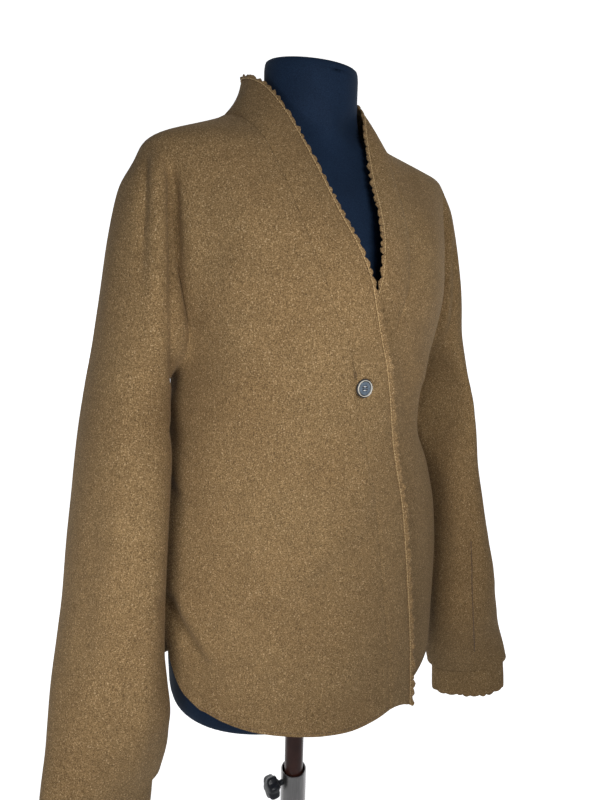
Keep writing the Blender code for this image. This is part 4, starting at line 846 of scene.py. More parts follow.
def wool_material(name, tone=(1.0, 1.0, 1.0), grain=1.0):
    """Felted melange wool: dark, tobacco and tan fibres in specks of about a millimetre."""
    m, nt, b = new_material(name)
    co = nt.nodes.new("ShaderNodeTexCoord").outputs["Object"]

    def noise(scale, detail, rough, stretch=None, distort=0.0):
        v = co
        if stretch:
            mp = nt.nodes.new("ShaderNodeMapping")
            mp.inputs["Scale"].default_value = stretch
            nt.links.new(co, mp.inputs[0])
            v = mp.outputs[0]
        n = node(nt, "ShaderNodeTexNoise", Scale=scale, Detail=detail, Roughness=rough, Distortion=distort)
        nt.links.new(v, n.inputs["Vector"])
        return n.outputs["Fac"]

    speck = ramp(nt, noise(880, 1.5, 0.6), [(0.28, grey(0.0)), (0.72, grey(1.0))])
    fibre = noise(520, 2.0, 0.7, (1.0, 1.0, 0.45), 0.6)
    cloud = noise(55, 3.0, 0.6)
    broad = noise(9, 2.0, 0.5)
    dark, mid, tan, pale = ((0.095, 0.058, 0.026), (0.205, 0.131, 0.060), (0.330, 0.222, 0.110), (0.50, 0.38, 0.24))
    col = ramp(nt, speck, [(0.0, tuple(c * t for c, t in zip(dark, tone))), (0.50, tuple(c * t for c, t in zip(mid, tone))),
                           (0.86, tuple(c * t for c, t in zip(tan, tone))), (1.0, tuple(c * t for c, t in zip(pale, tone)))])
    col = mix(nt, "MULTIPLY", 0.45, col, ramp(nt, fibre, [(0.30, grey(0.62)), (0.70, grey(1.30))]))
    col = mix(nt, "MULTIPLY", 0.6, col, ramp(nt, cloud, [(0.30, grey(0.88)), (0.70, grey(1.10))]))
    col = mix(nt, "MULTIPLY", 0.8, col, ramp(nt, broad, [(0.35, (0.95, 0.93, 0.92)), (0.65, (1.05, 1.06, 1.07))]))
    nt.links.new(col, b.inputs["Base Color"])
    b.inputs["Roughness"].default_value = 0.95
    b.inputs["Specular IOR Level"].default_value = 0.12
    b.inputs["Sheen Weight"].default_value = 0.12
    b.inputs["Sheen Roughness"].default_value = 0.55
    b.inputs["Sheen Tint"].default_value = (0.78, 0.60, 0.40, 1)
    nap = nt.nodes.new("ShaderNodeBump")
    nap.inputs["Strength"].default_value = 0.55 * grain
    nap.inputs["Distance"].default_value = 0.0007
    add = nt.nodes.new("ShaderNodeMath")
    add.operation = "MULTIPLY_ADD"
    add.inputs[1].default_value = 0.6
    nt.links.new(noise(900, 2.0, 0.7), add.inputs[0])
    nt.links.new(fibre, add.inputs[2])
    nt.links.new(add.outputs[0], nap.inputs["Height"])
    nt.links.new(nap.outputs[0], b.inputs["Normal"])
    return m


WOOL = wool_material("felted_wool")
# the edge strip gets a lighter copy of the wool: a painted highlight, as if its raised edge caught the light
WOOL_EDGE_PAINTED_HIGHLIGHT = wool_material("felted_wool_edge_painted_highlight", (1.10, 1.10, 1.12), 1.4)


def thread_material(name, rgb):
    m, nt, b = new_material(name)
    co = nt.nodes.new("ShaderNodeTexCoord").outputs["Object"]
    n = node(nt, "ShaderNodeTexNoise", Scale=1500.0, Detail=2.0)
    nt.links.new(co, n.inputs["Vector"])
    nt.links.new(ramp(nt, n.outputs["Fac"], [(0.3, tuple(c * 0.7 for c in rgb)), (0.7, tuple(min(c * 1.25, 1) for c in rgb))]), b.inputs["Base Color"])
    b.inputs["Roughness"].default_value = 0.7
    b.inputs["Sheen Weight"].default_value = 0.2
    return m


TAN_THREAD = thread_material("tan_thread", (0.52, 0.36, 0.17))
DARK_THREAD = thread_material("brown_thread", (0.10, 0.055, 0.028))
WHITE_THREAD = thread_material("white_thread", (0.80, 0.80, 0.82))


# ------------------------------------------------------------------ shells
def make(name, verts, faces, material, body="form", angle=50):
    mesh = bpy.data.meshes.new(name)
    mesh.from_pydata([tuple(float(c) for c in v) for v in verts], [], [tuple(int(i) for i in f) for f in faces])
    mesh.validate()
    mesh.update()
    mesh.shade_smooth()
    mesh.set_sharp_from_angle(angle=math.radians(angle))
    mesh.materials.append(material)
    o = bpy.data.objects.new(name, mesh)
    bpy.context.scene.collection.objects.link(o)
    if body:
        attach(o, body)
    return o


def shell(name, pts, nrm, faces, thick, material, free, groove=0.0006, round_off=0.0007):
    """Closed thin wall round a patch: both faces and a rounded rim on free edges."""
    faces = [f for f in ([x for j, x in enumerate(f) if x not in f[:j]] for f in faces) if len(f) > 2]
    used = sorted({i for f in faces for i in f})
    remap = {o: n for n, o in enumerate(used)}
    faces = [[remap[i] for i in f] for f in faces]
    pts, nrm, free = pts[used], nrm[used], free[used]
    edges = boundary_edges(faces)
    away = np.zeros_like(pts)
    for a, b in edges:
        e = pts[b] - pts[a]
        for i in (a, b):
            away[i] -= np.cross(nrm[i], e)
    ln = np.linalg.norm(away, axis=1)
    away[ln > 1e-12] /= ln[ln > 1e-12][:, None]
    on_rim = np.zeros(len(pts), bool)
    on_rim[[i for e in edges for i in e]] = True
    seam = on_rim & ~free
    n = len(pts)
    draw = np.where(seam, -0.00012, 0.0)[:, None] * away
    outer = pts + draw + nrm * (thick / 2 - np.where(seam, groove, 0))[:, None]
    inner = pts + draw - nrm * (thick / 2 - np.where(seam, groove * 0.5, 0))[:, None]
    middle = pts + away * np.where(free, round_off, -0.00012)[:, None]
    verts = np.concatenate([outer, inner, middle])
    out = [tuple(f) for f in faces] + [tuple(i + n for i in f[::-1]) for f in faces]
    for a, b in edges:
        out += [(b, a, a + 2 * n, b + 2 * n), (b + 2 * n, a + 2 * n, a + n, b + n)]
    used2 = sorted({i for f in out for i in f})
    back_map = {o: i for i, o in enumerate(used2)}
    out = [tuple(back_map[i] for i in f) for f in out]
    return make(name, verts[used2], out, material)


for k, name in enumerate(NAMES):
    faces = FACES[k]
    if "band" in name:
        strip = {int(WELD[line[-1] + START[k]]) for line in SHEETS[k].lines}
        faces = [f for f in faces if not strip & set(f)]
        free = FREE.copy()
        rim = {int(WELD[line[-2] + START[k]]) for line in SHEETS[k].lines}
        free[list(rim)] = False
    else:
        free = FREE
    shell("wool_" + name, P, N, faces, CLOTH, WOOL, free)
    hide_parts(name)


# ------------------------------------------------------------------ frayed scalloped edges
def chain(points):
    return np.concatenate([[0.0], np.cumsum(np.linalg.norm(np.diff(points, axis=0), axis=1))])


def resample(points, length, want):
    return np.stack([np.interp(want, length, points[:, i]) for i in range(points.shape[1])], 1)


def scallops(length, pitch, seed, low=0.45):
    """Height 0..1 of an uneven row of rounded scallops with sharp notches between them."""
    r = np.random.default_rng(seed)
    marks = [0.0]
    while marks[-1] < length[-1]:
        marks.append(marks[-1] + pitch * r.uniform(0.70, 1.35))
    h = r.uniform(0.75, 1.10, len(marks))
    i = np.clip(np.searchsorted(marks, length, side="right") - 1, 0, len(marks) - 2)
    t = (length - np.array(marks)[i]) / np.diff(marks)[i]
    wave = np.clip(np.sin(np.pi * np.clip(t, 0, 1)), 0, 1)**0.55
    return low + (1 - low) * wave * h[i]


def edge_strip(name, k, seed, pitch=0.0098):
    rows = SHEETS[k].lines
    stitch = P[[WELD[l[-2] + START[k]] for l in rows]]
    edge = P[[WELD[l[-1] + START[k]] for l in rows]]
    nr = N[[WELD[l[-2] + START[k]] for l in rows]]
    keep = chain(stitch)
    want = np.arange(0, keep[-1], 0.0011 * FINE)
    a, e, n = (resample(x, keep, want) for x in (stitch, edge, nr))
    n /= np.linalg.norm(n, axis=1)[:, None]
    across = e - a
    width = np.linalg.norm(across, axis=1)[:, None]
    across /= width
    r = np.random.default_rng(seed + 1)
    h = scallops(want, pitch, seed, 0.22)
    ragged = r.normal(0, 0.045, len(want))
    lapped = smooth((LAP_Z - a[:, 2]) / 0.04)          # below the V the strip stands off the layer under it
    free_part = smooth((1.235 - a[:, 2]) / 0.05)
    reach = ((0.0056 - 0.0011 * np.exp(-((a[:, 2] - 1.268) / 0.018)**2) + 0.0022 * free_part) * (h + ragged))[:, None]
    curl = ((np.sin(want * 420 + 2 * np.sin(want * 97)) * 0.0007 + 0.0010) + lapped * (0.0020 + 0.0010 * np.sin(want * 230 + seed)))[:, None]
    verts, rows_idx = [], []
    for t, half, lift in ((-0.06, 1.15, 0), (0.10, 1.00, 0.0), (0.35, 1.18, 0.4), (0.65, 1.1, 0.8), (0.90, 0.75, 1.0)):
        verts.append((a + across * reach * t + n * (0.00120 * half) + n * curl * lift))
    verts.append(a + across * reach * 1.0 + n * curl)
    for t, half, lift in ((0.90, 0.75, 1.0), (0.65, 1.1, 0.8), (0.35, 1.18, 0.4), (0.10, 1.0, 0.0), (-0.06, 1.15, 0)):
        verts.append((a + across * reach * t - n * (0.00110 * half) + n * curl * lift))
    m, c = len(want), len(verts)
    verts = np.concatenate(verts)
    faces = []
    flip = k == 4
    for j in range(c):
        j2 = (j + 1) % c
        for i in range(m - 1):
            q = (j * m + i, j2 * m + i, j2 * m + i + 1, j * m + i + 1)
            faces.append(q if flip else q[::-1])
    faces.append(tuple(j * m for j in range(c))[::-1] if flip else tuple(j * m for j in range(c)))
    faces.append(tuple(j * m + m - 1 for j in range(c)) if flip else tuple(j * m + m - 1 for j in range(c))[::-1])
    # the strip wears the lighter wool with the painted highlight
    o = make("wool_" + name, verts, faces, WOOL_EDGE_PAINTED_HIGHLIGHT, angle=70)
    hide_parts(name)
    return a, n, across, want


LAP_Z = 1.262
strip_r = edge_strip("right_edge", 3, 21)
strip_l = edge_strip("left_edge", 4, 33)


def stitches(name, path, nrm, pitch, length, radius, material, lift=0.0, seed=1, slant=0.0):
    """A row of short sewn stitches lying on a surface line."""
    s = chain(path)
    r = np.random.default_rng(seed)
    verts, faces = [], []
    for c in np.arange(pitch, s[-1] - pitch, pitch):
        c += r.normal(0, pitch * 0.05)
        p0, p1 = resample(path, s, np.array([c - length / 2, c + length / 2]))
        n = resample(nrm, s, np.array([c]))[0]
        n /= np.linalg.norm(n)
        d = p1 - p0
        d /= np.linalg.norm(d)
        w = np.cross(n, d)
        p0, p1 = p0 - w * slant, p1 + w * slant
        for share, rad, up in ((0.0, 0.35, -0.5), (0.12, 0.85, 0.1), (0.5, 1.0, 0.45), (0.88, 0.85, 0.1), (1.0, 0.35, -0.5)):
            q = p0 + (p1 - p0) * share + n * (lift + radius * up)
            for g in range(6):
                an = g * math.pi / 3
                verts.append(q + (n * math.sin(an) + w * math.cos(an)) * radius * rad)
        b = len(verts) - 30
        for k in range(4):
            for g in range(6):
                g2 = (g + 1) % 6
                faces.append((b + k * 6 + g, b + k * 6 + g2, b + (k + 1) * 6 + g2, b + (k + 1) * 6 + g)[::-1])
        faces.append(tuple(b + g for g in range(6)))
        faces.append(tuple(b + 24 + g for g in range(6))[::-1])
    return make(name, verts, faces, material)


a, n, across, want = strip_r
stitches("edge_stitches_right", a + across * 0.0004, n, 0.0034, 0.0029, 0.00042, TAN_THREAD, lift=CLOTH / 2 + 0.0002, seed=3)
a, n, across, want = strip_l
stitches("edge_stitches_left", a + across * 0.0004, n, 0.0034, 0.0029, 0.00042, TAN_THREAD, lift=CLOTH / 2 + 0.0002, seed=4)

# hem stitching, a little above the hems of both fronts and of the back
row = [WELD[i + START[2]] for i in back.hem_row]
stitches("hem_stitches_back", P[row], N[row], 0.0038, 0.0030, 0.00036, DARK_THREAD, lift=CLOTH / 2 - 0.0001, seed=5)
for k, (side, name) in enumerate((("right", "hem_stitches_right"), ("left", "hem_stitches_left"))):
    row = [WELD[i + START[k]] for i in SHEETS[k].hem_row]
    stitches(name, P[row], N[row], 0.0038, 0.0030, 0.00036, DARK_THREAD, lift=CLOTH / 2 - 0.0001, seed=6 + k)


def on_cloth(k, line, count):
    """Points and normals on a sheet's visible side along a line given in the frame."""
    line = np.array(line, float)
    want = resample(line, chain(line), np.linspace(0, chain(line)[-1], count))
    pick = np.nonzero(BELONGS[:, k] & (FACING > 0.6))[0]
    pts, nrm = [], []
    for q in want:
        d = np.linalg.norm(S[pick] - q, axis=1)
        best = np.argsort(d)[:4]
        w = 1.0 / (d[best] + 0.5)**2
        w /= w.sum()
        pts.append((P[pick[best]] * w[:, None]).sum(0))
        nrm.append((N[pick[best]] * w[:, None]).sum(0))
    pts, nrm = np.array(pts), np.array(nrm)
    for _ in range(3):
        pts[1:-1] = (pts[:-2] + 2 * pts[1:-1] + pts[2:]) / 4
    return pts, nrm / np.linalg.norm(nrm, axis=1)[:, None]


# seam down the lower half of the left sleeve, and the end of the buttonhole above the button
path, nrm = on_cloth(1, [(471, 540), (472, 580), (473, 620), (474, 652)], 30)
stitches("sleeve_seam_left", path, nrm, 0.0031, 0.0031, 0.00050, DARK_THREAD, lift=CLOTH / 2 + 0.0003, seed=9)
path, nrm = on_cloth(0, [(363.5, 368), (364.0, 379)], 8)
for _side in (-1, 1):
    stitches("buttonhole_row_%s" % ("a" if _side < 0 else "b"), path + np.array([_side * 0.0011, 0, 0]), nrm, 0.0011, 0.0010, 0.00026, DARK_THREAD, lift=CLOTH / 2, seed=12 + _side)


# ------------------------------------------------------------------ cuffs
def cuff(name, a, seed):
    n = 2 * N_SLEEVE
    zs = steps(Z_HEM_SLEEVE + 0.002, Z_CUFF, 0.0035 * FINE)
    rings = []
    for z in zs:
        zz = min(z, Z_HEM_SLEEVE)
        f, b = sleeve_arc(zz, "front", n, a > 0), sleeve_arc(zz, "back", n, a > 0)
        ring = np.concatenate([f[:-1], b[::-1][:-1]])
        mid = ring.mean(0)
        s = chain(np.concatenate([ring, ring[:1]]))[:-1]
        u = (Z_HEM_SLEEVE - z) / (Z_HEM_SLEEVE - Z_CUFF)
        ring = mid + (ring - mid) * (0.905 + 0.045 * smooth(u))
        flare = 0.0012 * u * np.sin(s * 95 + seed) + 0.0007 * u**2 * np.sin(s * 240 + seed)
        d = (ring - mid) / np.linalg.norm(ring - mid, axis=1)[:, None]
        ring = ring + d * flare[:, None]
        last = (scallops(s, 0.011, seed, 0.2) - 0.75) * 0.0040 * smooth((u - 0.70) / 0.30)
        drop = np.array([settle(a * x, z) for x in ring[:, 0]])
        rings.append(np.column_stack([a * ring[:, 0], ring[:, 1], z - last - drop]))
    rings = np.array(rings)
    m = rings.shape[1]
    pts = rings.reshape(-1, 3)
    faces = []
    for i in range(len(zs) - 1):
        for j in range(m):
            j2 = (j + 1) % m
            q = (i * m + j, i * m + j2, (i + 1) * m + j2, (i + 1) * m + j)
            faces.append(q if a < 0 else q[::-1])
    # outward normals from the rings' tangents
    tri = np.array([(f[0], f[k], f[k + 1]) for f in faces for k in (1, 2)])
    nn = np.zeros_like(pts)
    t = pts[tri]
    c = np.cross(t[:, 1] - t[:, 0], t[:, 2] - t[:, 0])
    for k in range(3):
        np.add.at(nn, tri[:, k], c)
    nn /= np.linalg.norm(nn, axis=1)[:, None]
    if ((pts - pts.mean(0)) * nn)[:, :2].sum() < 0:
        faces = [f[::-1] for f in faces]
        nn = -nn
    o = shell("wool_" + name, pts, nn, [list(f) for f in faces], CLOTH * 0.9, WOOL, np.ones(len(pts), bool), round_off=0.0006)
    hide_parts(name)


cuff("right_cuff", -1, 2)
cuff("left_cuff", 1, 7)

# ------------------------------------------------------------------ button
def lathe(name, profile, segments, material, body, place=None, angle=35, wobble=None):
    verts, faces, rows = [], [], []
    for r, z in profile:
        if r < 1e-7:
            rows.append([len(verts)])
            verts.append((0, 0, z))
        else:
            rows.append(list(range(len(verts), len(verts) + segments)))
            for k in range(segments):
                an = 2 * math.pi * k / segments
                rr = r * (1 + (wobble(an, r, z) if wobble else 0))
                verts.append((rr * math.cos(an), rr * math.sin(an), z))
    closed = profile[0][0] > 1e-7 and profile[-1][0] > 1e-7
    for ra, rb in list(zip(rows[:-1], rows[1:])) + ([(rows[-1], rows[0])] if closed else []):
        for k in range(segments):
            k2 = (k + 1) % segments
            if len(ra) == 1 and len(rb) > 1:
                faces.append((ra[0], rb[k], rb[k2]))
            elif len(rb) == 1 and len(ra) > 1:
                faces.append((ra[k], rb[0], ra[k2]))
            elif len(ra) > 1:
                faces.append((ra[k], rb[k], rb[k2], ra[k2]))
    o = make(name, verts, faces, material, None, angle=angle)
    if place is not None:
        o.data.transform(place)
    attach(o, body)
    return o


def plastic(name, stops, rough, coat=0.0, scale=300.0, metal=0.0, bump=0.0):
    m, nt, b = new_material(name)
    co = nt.nodes.new("ShaderNodeTexCoord").outputs["Object"]
    n = node(nt, "ShaderNodeTexNoise", Scale=scale, Detail=3.0, Roughness=0.6)
    nt.links.new(co, n.inputs["Vector"])
    nt.links.new(ramp(nt, n.outputs["Fac"], [(0.3, stops[0]), (0.7, stops[1])]), b.inputs["Base Color"])
    b.inputs["Roughness"].default_value = rough
    b.inputs["Coat Weight"].default_value = coat
    b.inputs["Coat Roughness"].default_value = 0.15
    b.inputs["Metallic"].default_value = metal
    if bump:
        bp = nt.nodes.new("ShaderNodeBump")
        bp.inputs["Strength"].default_value = bump
        bp.inputs["Distance"].default_value = 0.0002
        nt.links.new(n.outputs["Fac"], bp.inputs["Height"])
        nt.links.new(bp.outputs[0], b.inputs["Normal"])
    return m


lo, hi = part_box("button")
bx, bz = BUTTON_AT
by = float(hi[1])                          # the side that lies on the cloth
face = Matrix.Translation((bx, by, bz)) @ Matrix.Rotation(math.radians(90), 4, "X")
BLUE = plastic("button_blue_grey", ((0.075, 0.105, 0.145), (0.15, 0.19, 0.24)), 0.38, 0.2, 260.0)
CREAM = plastic("button_cream_rim", ((0.62, 0.60, 0.54), (0.80, 0.78, 0.72)), 0.30, 0.4, 400.0)
BUTTON_DARK_AND_SHADE = plastic("button_dark_edge_and_painted_shade", ((0.010, 0.012, 0.018), (0.020, 0.022, 0.030)), 0.35, 0.2, 400.0)
R = BUTTON_R
# the dark back disc shows as a ring round the cream rim: partly the button's own dark edge, partly a painted shadow
# round the button
lathe("button_back", [(0, 0.0012), (R * 0.90, 0.0012), (R * 1.07, 0.0019), (R * 1.11, 0.0011), (R * 0.98, 0.0003), (R * 0.80, 0.0), (0, 0.0)], 64, BUTTON_DARK_AND_SHADE, "form", face)
lathe("button_rim", [(R * 0.955, 0.0014), (R * 0.960, 0.0025), (R * 0.935, 0.0030), (R * 0.895, 0.0030), (R * 0.870, 0.0025), (R * 0.865, 0.0014)], 64, CREAM, "form", face)
holes = [(sx * R * 0.25, sy * R * 0.22) for sx in (-1, 1) for sy in (-1, 1)]


def disc_with_holes():
    """Blue-grey disc, dished; the four thread holes are not cut through it, dark plugs of painted shade stand for them.
    """
    lathe_obj = lathe("button_disc", [(0, 0.0019), (R * 0.30, 0.0019), (R * 0.52, 0.0021), (R * 0.66, 0.0024), (R * 0.73, 0.0024), (R * 0.76, 0.0021), (R * 0.76, 0.0010), (0, 0.0010)],
                      96, BLUE, "form", face)
    return lathe_obj


disc = disc_with_holes()
for i, (hx, hy) in enumerate(holes):       # dark plugs, sunk a little into the disc's face: the shade inside the thread holes, painted
    lathe("button_hole_painted_shade_%d" % i, [(0, 0.00196), (R * 0.15, 0.00197), (R * 0.175, 0.00206), (R * 0.185, 0.00198), (R * 0.175, 0.0012), (0, 0.0012)], 20, BUTTON_DARK_AND_SHADE, "form",
          face @ Matrix.Translation((hx, hy, 0)))


def tube(name, points, radius, material, body="form", sides=8):
    pts = [Vector(p) for p in points]
    verts, faces = [], []
    for i, p in enumerate(pts):
        d = (pts[min(i + 1, len(pts) - 1)] - pts[max(i - 1, 0)]).normalized()
        u = d.orthogonal().normalized() if i == 0 else (u - d * u.dot(d)).normalized()
        v = d.cross(u)
        rad = radius * (0.5 if i in (0, len(pts) - 1) else 1.0)
        for k in range(sides):
            an = 2 * math.pi * k / sides
            verts.append(p + (u * math.cos(an) + v * math.sin(an)) * rad)
    for i in range(len(pts) - 1):
        for k in range(sides):
            k2 = (k + 1) % sides
            faces.append((i * sides + k, i * sides + k2, (i + 1) * sides + k2, (i + 1) * sides + k))
    faces.append(tuple(range(sides))[::-1])
    faces.append(tuple((len(pts) - 1) * sides + k for k in range(sides)))
    return make(name, verts, faces, material, body)


for j, sy in enumerate((-1, 1)):           # white thread, two parallel stitches
    for q in range(2):
        off = (q - 0.5) * 0.00026
        line = [face @ Vector((sx * R * 0.25, sy * R * 0.22 + off, z)) for sx, z in
                ((-0.80, 0.0017), (-0.72, 0.0021), (-0.4, 0.00232), (0, 0.00236), (0.4, 0.00232), (0.72, 0.0021), (0.80, 0.0017))]
        tube("button_thread_%d_%d" % (j, q), line, 0.00015, WHITE_THREAD, "form")
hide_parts("button")

# ------------------------------------------------------------------ dress form
def jersey(name, base, light):
    m, nt, b = new_material(name)
    co = nt.nodes.new("ShaderNodeTexCoord").outputs["Object"]
    n = node(nt, "ShaderNodeTexNoise", Scale=1100.0, Detail=2.0, Roughness=0.6)
    big = node(nt, "ShaderNodeTexNoise", Scale=30.0, Detail=2.0)
    nt.links.new(co, n.inputs["Vector"])
    nt.links.new(co, big.inputs["Vector"])
    c = ramp(nt, n.outputs["Fac"], [(0.3, base), (0.7, light)])
    c = mix(nt, "MULTIPLY", 0.6, c, ramp(nt, big.outputs["Fac"], [(0.3, grey(0.8)), (0.7, grey(1.15))]))
    nt.links.new(c, b.inputs["Base Color"])
    b.inputs["Roughness"].default_value = 0.8
    b.inputs["Sheen Weight"].default_value = 0.06
    b.inputs["Sheen Roughness"].default_value = 0.4
    b.inputs["Sheen Tint"].default_value = (0.30, 0.45, 0.70, 1)
    b.inputs["Specular IOR Level"].default_value = 0.15
    bp = nt.nodes.new("ShaderNodeBump")
    bp.inputs["Strength"].default_value = 0.35
    bp.inputs["Distance"].default_value = 0.0003
    nt.links.new(n.outputs["Fac"], bp.inputs["Height"])
    nt.links.new(bp.outputs[0], b.inputs["Normal"])
    return m


NAVY = jersey("navy_jersey", (0.0045, 0.0125, 0.0330), (0.0105, 0.0255, 0.0570))


def form_ring(z, n=26):
    pts = []
    for part, sx in (("front", 1), ("back", 1), ("back", -1), ("front", -1)):
        sign = -1 if part == "front" else 1
        c = quarter(at(FORM, "half", z), sign * at(FORM, part, z), at(FORM, "side", z), at(FORM, "k", z), DENSE)
        q = even(c, n) * [sx, 1]
        if (part, sx) in (("back", 1), ("front", -1)):
            q = q[::-1]
        pts += list(q[:-1])
    return np.array(pts)


rings = [np.column_stack([form_ring(z), np.full(104, z)]) for z in
         steps(FORM_BOTTOM, 0.82, 0.0022) + steps(0.825, 1.36, 0.0065) + steps(1.362, 1.44, 0.0022) + steps(1.444, 1.472, 0.0045)]
top = form_ring(1.47)
for scale, z0 in ((1.0, 1.4775), (0.997, 1.4800), (0.988, 1.4835), (0.968, 1.4862), (0.93, 1.4875), (0.80, 1.4882), (0.55, 1.4885), (0.30, 1.4885)):
    rings.append(np.column_stack([top * scale, z0 + 0.17 * top[:, 1] * scale]))
low = rings[0]
bottom = [np.column_stack([low[:, :2] * s, np.full(104, FORM_BOTTOM - d)]) for s, d in ((0.25, 0.0), (0.60, 0.0), (0.90, 0.0), (0.975, 0.0))]
rings = bottom + rings
for ring in rings:
    ring[:, 2] -= [settle(p[0], p[2]) for p in ring]
verts = np.concatenate(rings)
faces = [(i * 104 + k, i * 104 + (k + 1) % 104, (i + 1) * 104 + (k + 1) % 104, (i + 1) * 104 + k) for i in range(len(rings) - 1) for k in range(104)]
faces += [tuple(range(104))[::-1], tuple((len(rings) - 1) * 104 + k for k in range(104))]
form = make("form_cover", verts, faces, NAVY, "form", 40)
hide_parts("dress_form")

# ------------------------------------------------------------------ stand
POLE_MAT = plastic("dark_red_brown_paint", ((0.034, 0.011, 0.008), (0.052, 0.016, 0.011)), 0.30, 0.35, 80.0, 0.0, 0.05)
KNOB_MAT = plastic("black_moulded_plastic", ((0.008, 0.010, 0.014), (0.016, 0.019, 0.026)), 0.38, 0.1, 500.0, 0.0, 0.2)
BASE_MAT = plastic("grey_black_enamel", ((0.030, 0.030, 0.032), (0.042, 0.042, 0.045)), 0.42, 0.2, 900.0, 0.0, 0.35)
STEEL, nt, b = new_material("brushed_steel")
co = nt.nodes.new("ShaderNodeTexCoord").outputs["Object"]
mp = nt.nodes.new("ShaderNodeMapping")
mp.inputs["Scale"].default_value = (1.0, 1.0, 0.03)
nt.links.new(co, mp.inputs[0])
nz = node(nt, "ShaderNodeTexNoise", Scale=1400.0, Detail=2.0)
nt.links.new(mp.outputs[0], nz.inputs["Vector"])
nt.links.new(ramp(nt, nz.outputs["Fac"], [(0.3, (0.36, 0.35, 0.35)), (0.7, (0.46, 0.45, 0.45))]), b.inputs["Base Color"])
rr = nt.nodes.new("ShaderNodeMapRange")
rr.inputs["To Min"].default_value, rr.inputs["To Max"].default_value = 0.30, 0.42
nt.links.new(nz.outputs["Fac"], rr.inputs["Value"])
nt.links.new(rr.outputs[0], b.inputs["Roughness"])
b.inputs["Metallic"].default_value = 1.0

lathe("pole_tube", [(0, 0.7777), (POLE_R - 0.0012, 0.7777), (POLE_R - 0.0004, 0.7774), (POLE_R, 0.7768), (POLE_R, Z_POLE_LOW + 0.0012), (POLE_R - 0.0012, Z_POLE_LOW), (0, Z_POLE_LOW)], 72, POLE_MAT, "pole")
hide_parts("pole")
lathe("outer_tube", [(TUBE_R, Z_RIM - 0.0008), (TUBE_R, 0.0405), (TUBE_R - TUBE_WALL, 0.0405), (TUBE_R - TUBE_WALL, Z_RIM - 0.0006), (TUBE_R - TUBE_WALL * 0.8, Z_RIM - 0.0001), (TUBE_R - 0.0008, Z_RIM), (TUBE_R - 0.0002, Z_RIM - 0.0003)], 96, STEEL, "stand")
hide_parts("stand_tube")
lathe("floor_plate", [(0, BASE_T), (BASE_R - 0.0065, BASE_T), (BASE_R - 0.0036, BASE_T - 0.0004), (BASE_R - 0.0014, BASE_T - 0.0016), (BASE_R, BASE_T - 0.004), (BASE_R, 0.0012), (BASE_R - 0.0012, 0), (0, 0)], 160, BASE_MAT, "stand")
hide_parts("base_plate")
lathe("floor_hub", [(0.0170, 0.0640), (0.0212, 0.0640), (0.0221, 0.0637), (0.0225, 0.0628), (0.0225, 0.0330), (0.0236, 0.0268), (0.0262, 0.0218), (0.0310, 0.0172), (0.0390, 0.0132), (0.0460, BASE_T + 0.0030), (0.0475, BASE_T + SEAM),
                  (0.0100, BASE_T + SEAM), (0.0100, 0.0400), (0.0170, 0.0400)], 96, BASE_MAT, "stand", angle=30)
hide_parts("base_hub")
lathe("under_flange", [(0, FORM_BOTTOM - SEAM), (0.0345, FORM_BOTTOM - SEAM), (0.0355, 0.7814), (0.0360, 0.7809), (0.0360, 0.7798), (0.0356, 0.7792),
                     (0.0345, 0.7788), (0.0160, 0.7786), (0.0154, 0.7784), (0.0150, 0.7780), (0, 0.7780)], 72, KNOB_MAT, "form")
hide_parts("form_flange")

KNOB_Z, KNOB_DIR = 0.6305, math.radians(184)
place = Matrix.Translation((math.cos(KNOB_DIR) * TUBE_R, math.sin(KNOB_DIR) * TUBE_R, KNOB_Z)) @ Matrix.Rotation(KNOB_DIR, 4, "Z") @ Matrix.Rotation(math.radians(90), 4, "Y")
lathe("knob_lobed", [(0, 0.0235), (0.0060, 0.0235), (0.0092, 0.0230), (0.0115, 0.0217), (0.0126, 0.0200), (0.0130, 0.0180), (0.0130, 0.0130), (0.0124, 0.0108), (0.0108, 0.0096), (0.0062, 0.0092),
                   (0.0060, 0.0062), (0.0036, 0.0058), (0.0034, 0.0003), (0, 0.0003)], 96, KNOB_MAT, "knob", place, 40,
      lambda an, r, z: 0.10 * math.cos(6 * an) if r > 0.0075 else 0.0)
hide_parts("clamp_knob")

# ------------------------------------------------------------------ studio
def stage_material(name, value, glow):
    m, nt, b = new_material(name)
    b.inputs["Base Color"].default_value = (*value, 1)
    b.inputs["Roughness"].default_value = 0.9
    b.inputs["Specular IOR Level"].default_value = 0.1
    b.inputs["Emission Color"].default_value = (*value, 1)
    b.inputs["Emission Strength"].default_value = glow
    return m


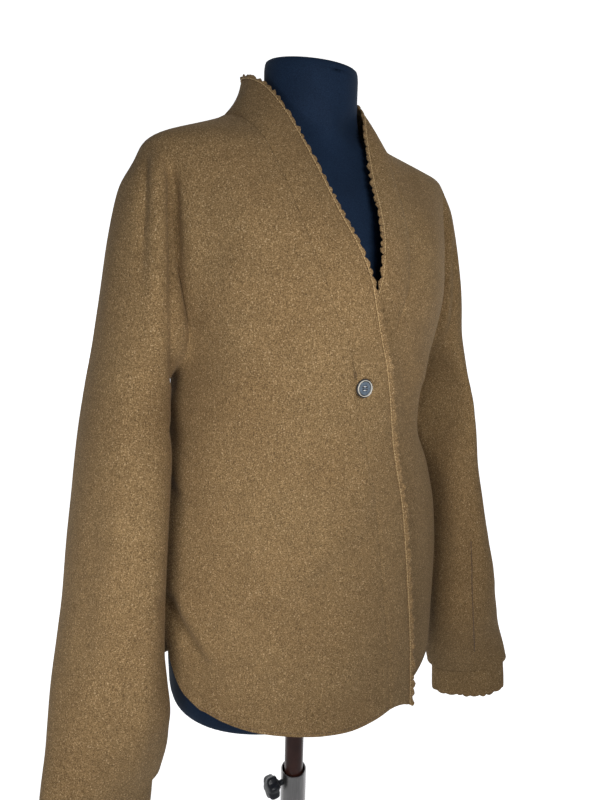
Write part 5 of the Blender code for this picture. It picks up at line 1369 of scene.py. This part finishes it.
WHITE = stage_material("studio_white", (0.90, 0.905, 0.91), 0.9)
_nt = WHITE.node_tree                      # the wall behind glows as if lit through; the floor in front doesn't
_co = _nt.nodes.new("ShaderNodeTexCoord").outputs["Object"]
_sep = _nt.nodes.new("ShaderNodeSeparateXYZ")
_nt.links.new(_co, _sep.inputs[0])
_map = _nt.nodes.new("ShaderNodeMapRange")
_map.interpolation_type = "SMOOTHSTEP"
for _k, _v in (("From Min", -0.10), ("From Max", 0.75), ("To Min", 0.06), ("To Max", 0.92)):
    _map.inputs[_k].default_value = _v
_nt.links.new(_sep.outputs[1], _map.inputs["Value"])
_nt.links.new(_map.outputs[0], _nt.nodes["Principled BSDF"].inputs["Emission Strength"])
sweep = []
turn = 0.9
cx, depth_back = 0.0, 2.6
prof = [(-4.0, 0.0), (depth_back - turn, 0.0)] + [(depth_back - turn + turn * math.sin(t), turn - turn * math.cos(t)) for t in np.linspace(0.1, math.pi / 2, 14)] + [(depth_back, 4.2)]
verts = [(x, y, z - 0.0006) for x in (-5.0, 5.0) for y, z in prof]
m = len(prof)
faces = [(i, i + m, i + m + 1, i + 1)[::-1] for i in range(m - 1)]
mesh = bpy.data.meshes.new("studio_sweep")
mesh.from_pydata(verts, [], faces)
mesh.shade_smooth()
mesh.materials.append(WHITE)
sweep = bpy.data.objects.new("studio_sweep", mesh)
bpy.context.scene.collection.objects.link(sweep)
sweep.rotation_euler = (0, 0, -math.radians(AZ))


def area_light(name, at_, look_, size, power, colour=(1, 1, 1)):
    data = bpy.data.lights.new(name, "AREA")
    data.shape, data.size, data.size_y, data.energy, data.color = "RECTANGLE", size[0], size[1], power, colour
    o = bpy.data.objects.new(name, data)
    bpy.context.scene.collection.objects.link(o)
    o.location = at_
    o.visible_camera = False
    o.rotation_euler = (Vector(look_) - Vector(at_)).to_track_quat("-Z", "Y").to_euler()
    return o


area_light("key_left", (-0.45, -0.45, 0.97), (0.0, -0.03, 1.00), (0.22, 0.22), 1.62, (1.0, 0.985, 0.96))
area_light("key_front", (-0.09, -0.64, 1.40), (0.0, -0.03, 1.06), (0.22, 0.22), 2.60, (1.0, 0.985, 0.96))
world = bpy.data.worlds.new("studio_world")
world.use_nodes = True
world.node_tree.nodes["Background"].inputs[0].default_value = (0.96, 0.98, 1.0, 1)
world.node_tree.nodes["Background"].inputs[1].default_value = 0.14
bpy.context.scene.world = world
bpy.context.scene.view_settings.view_transform = "Standard"
bpy.context.scene.view_settings.look = "None"
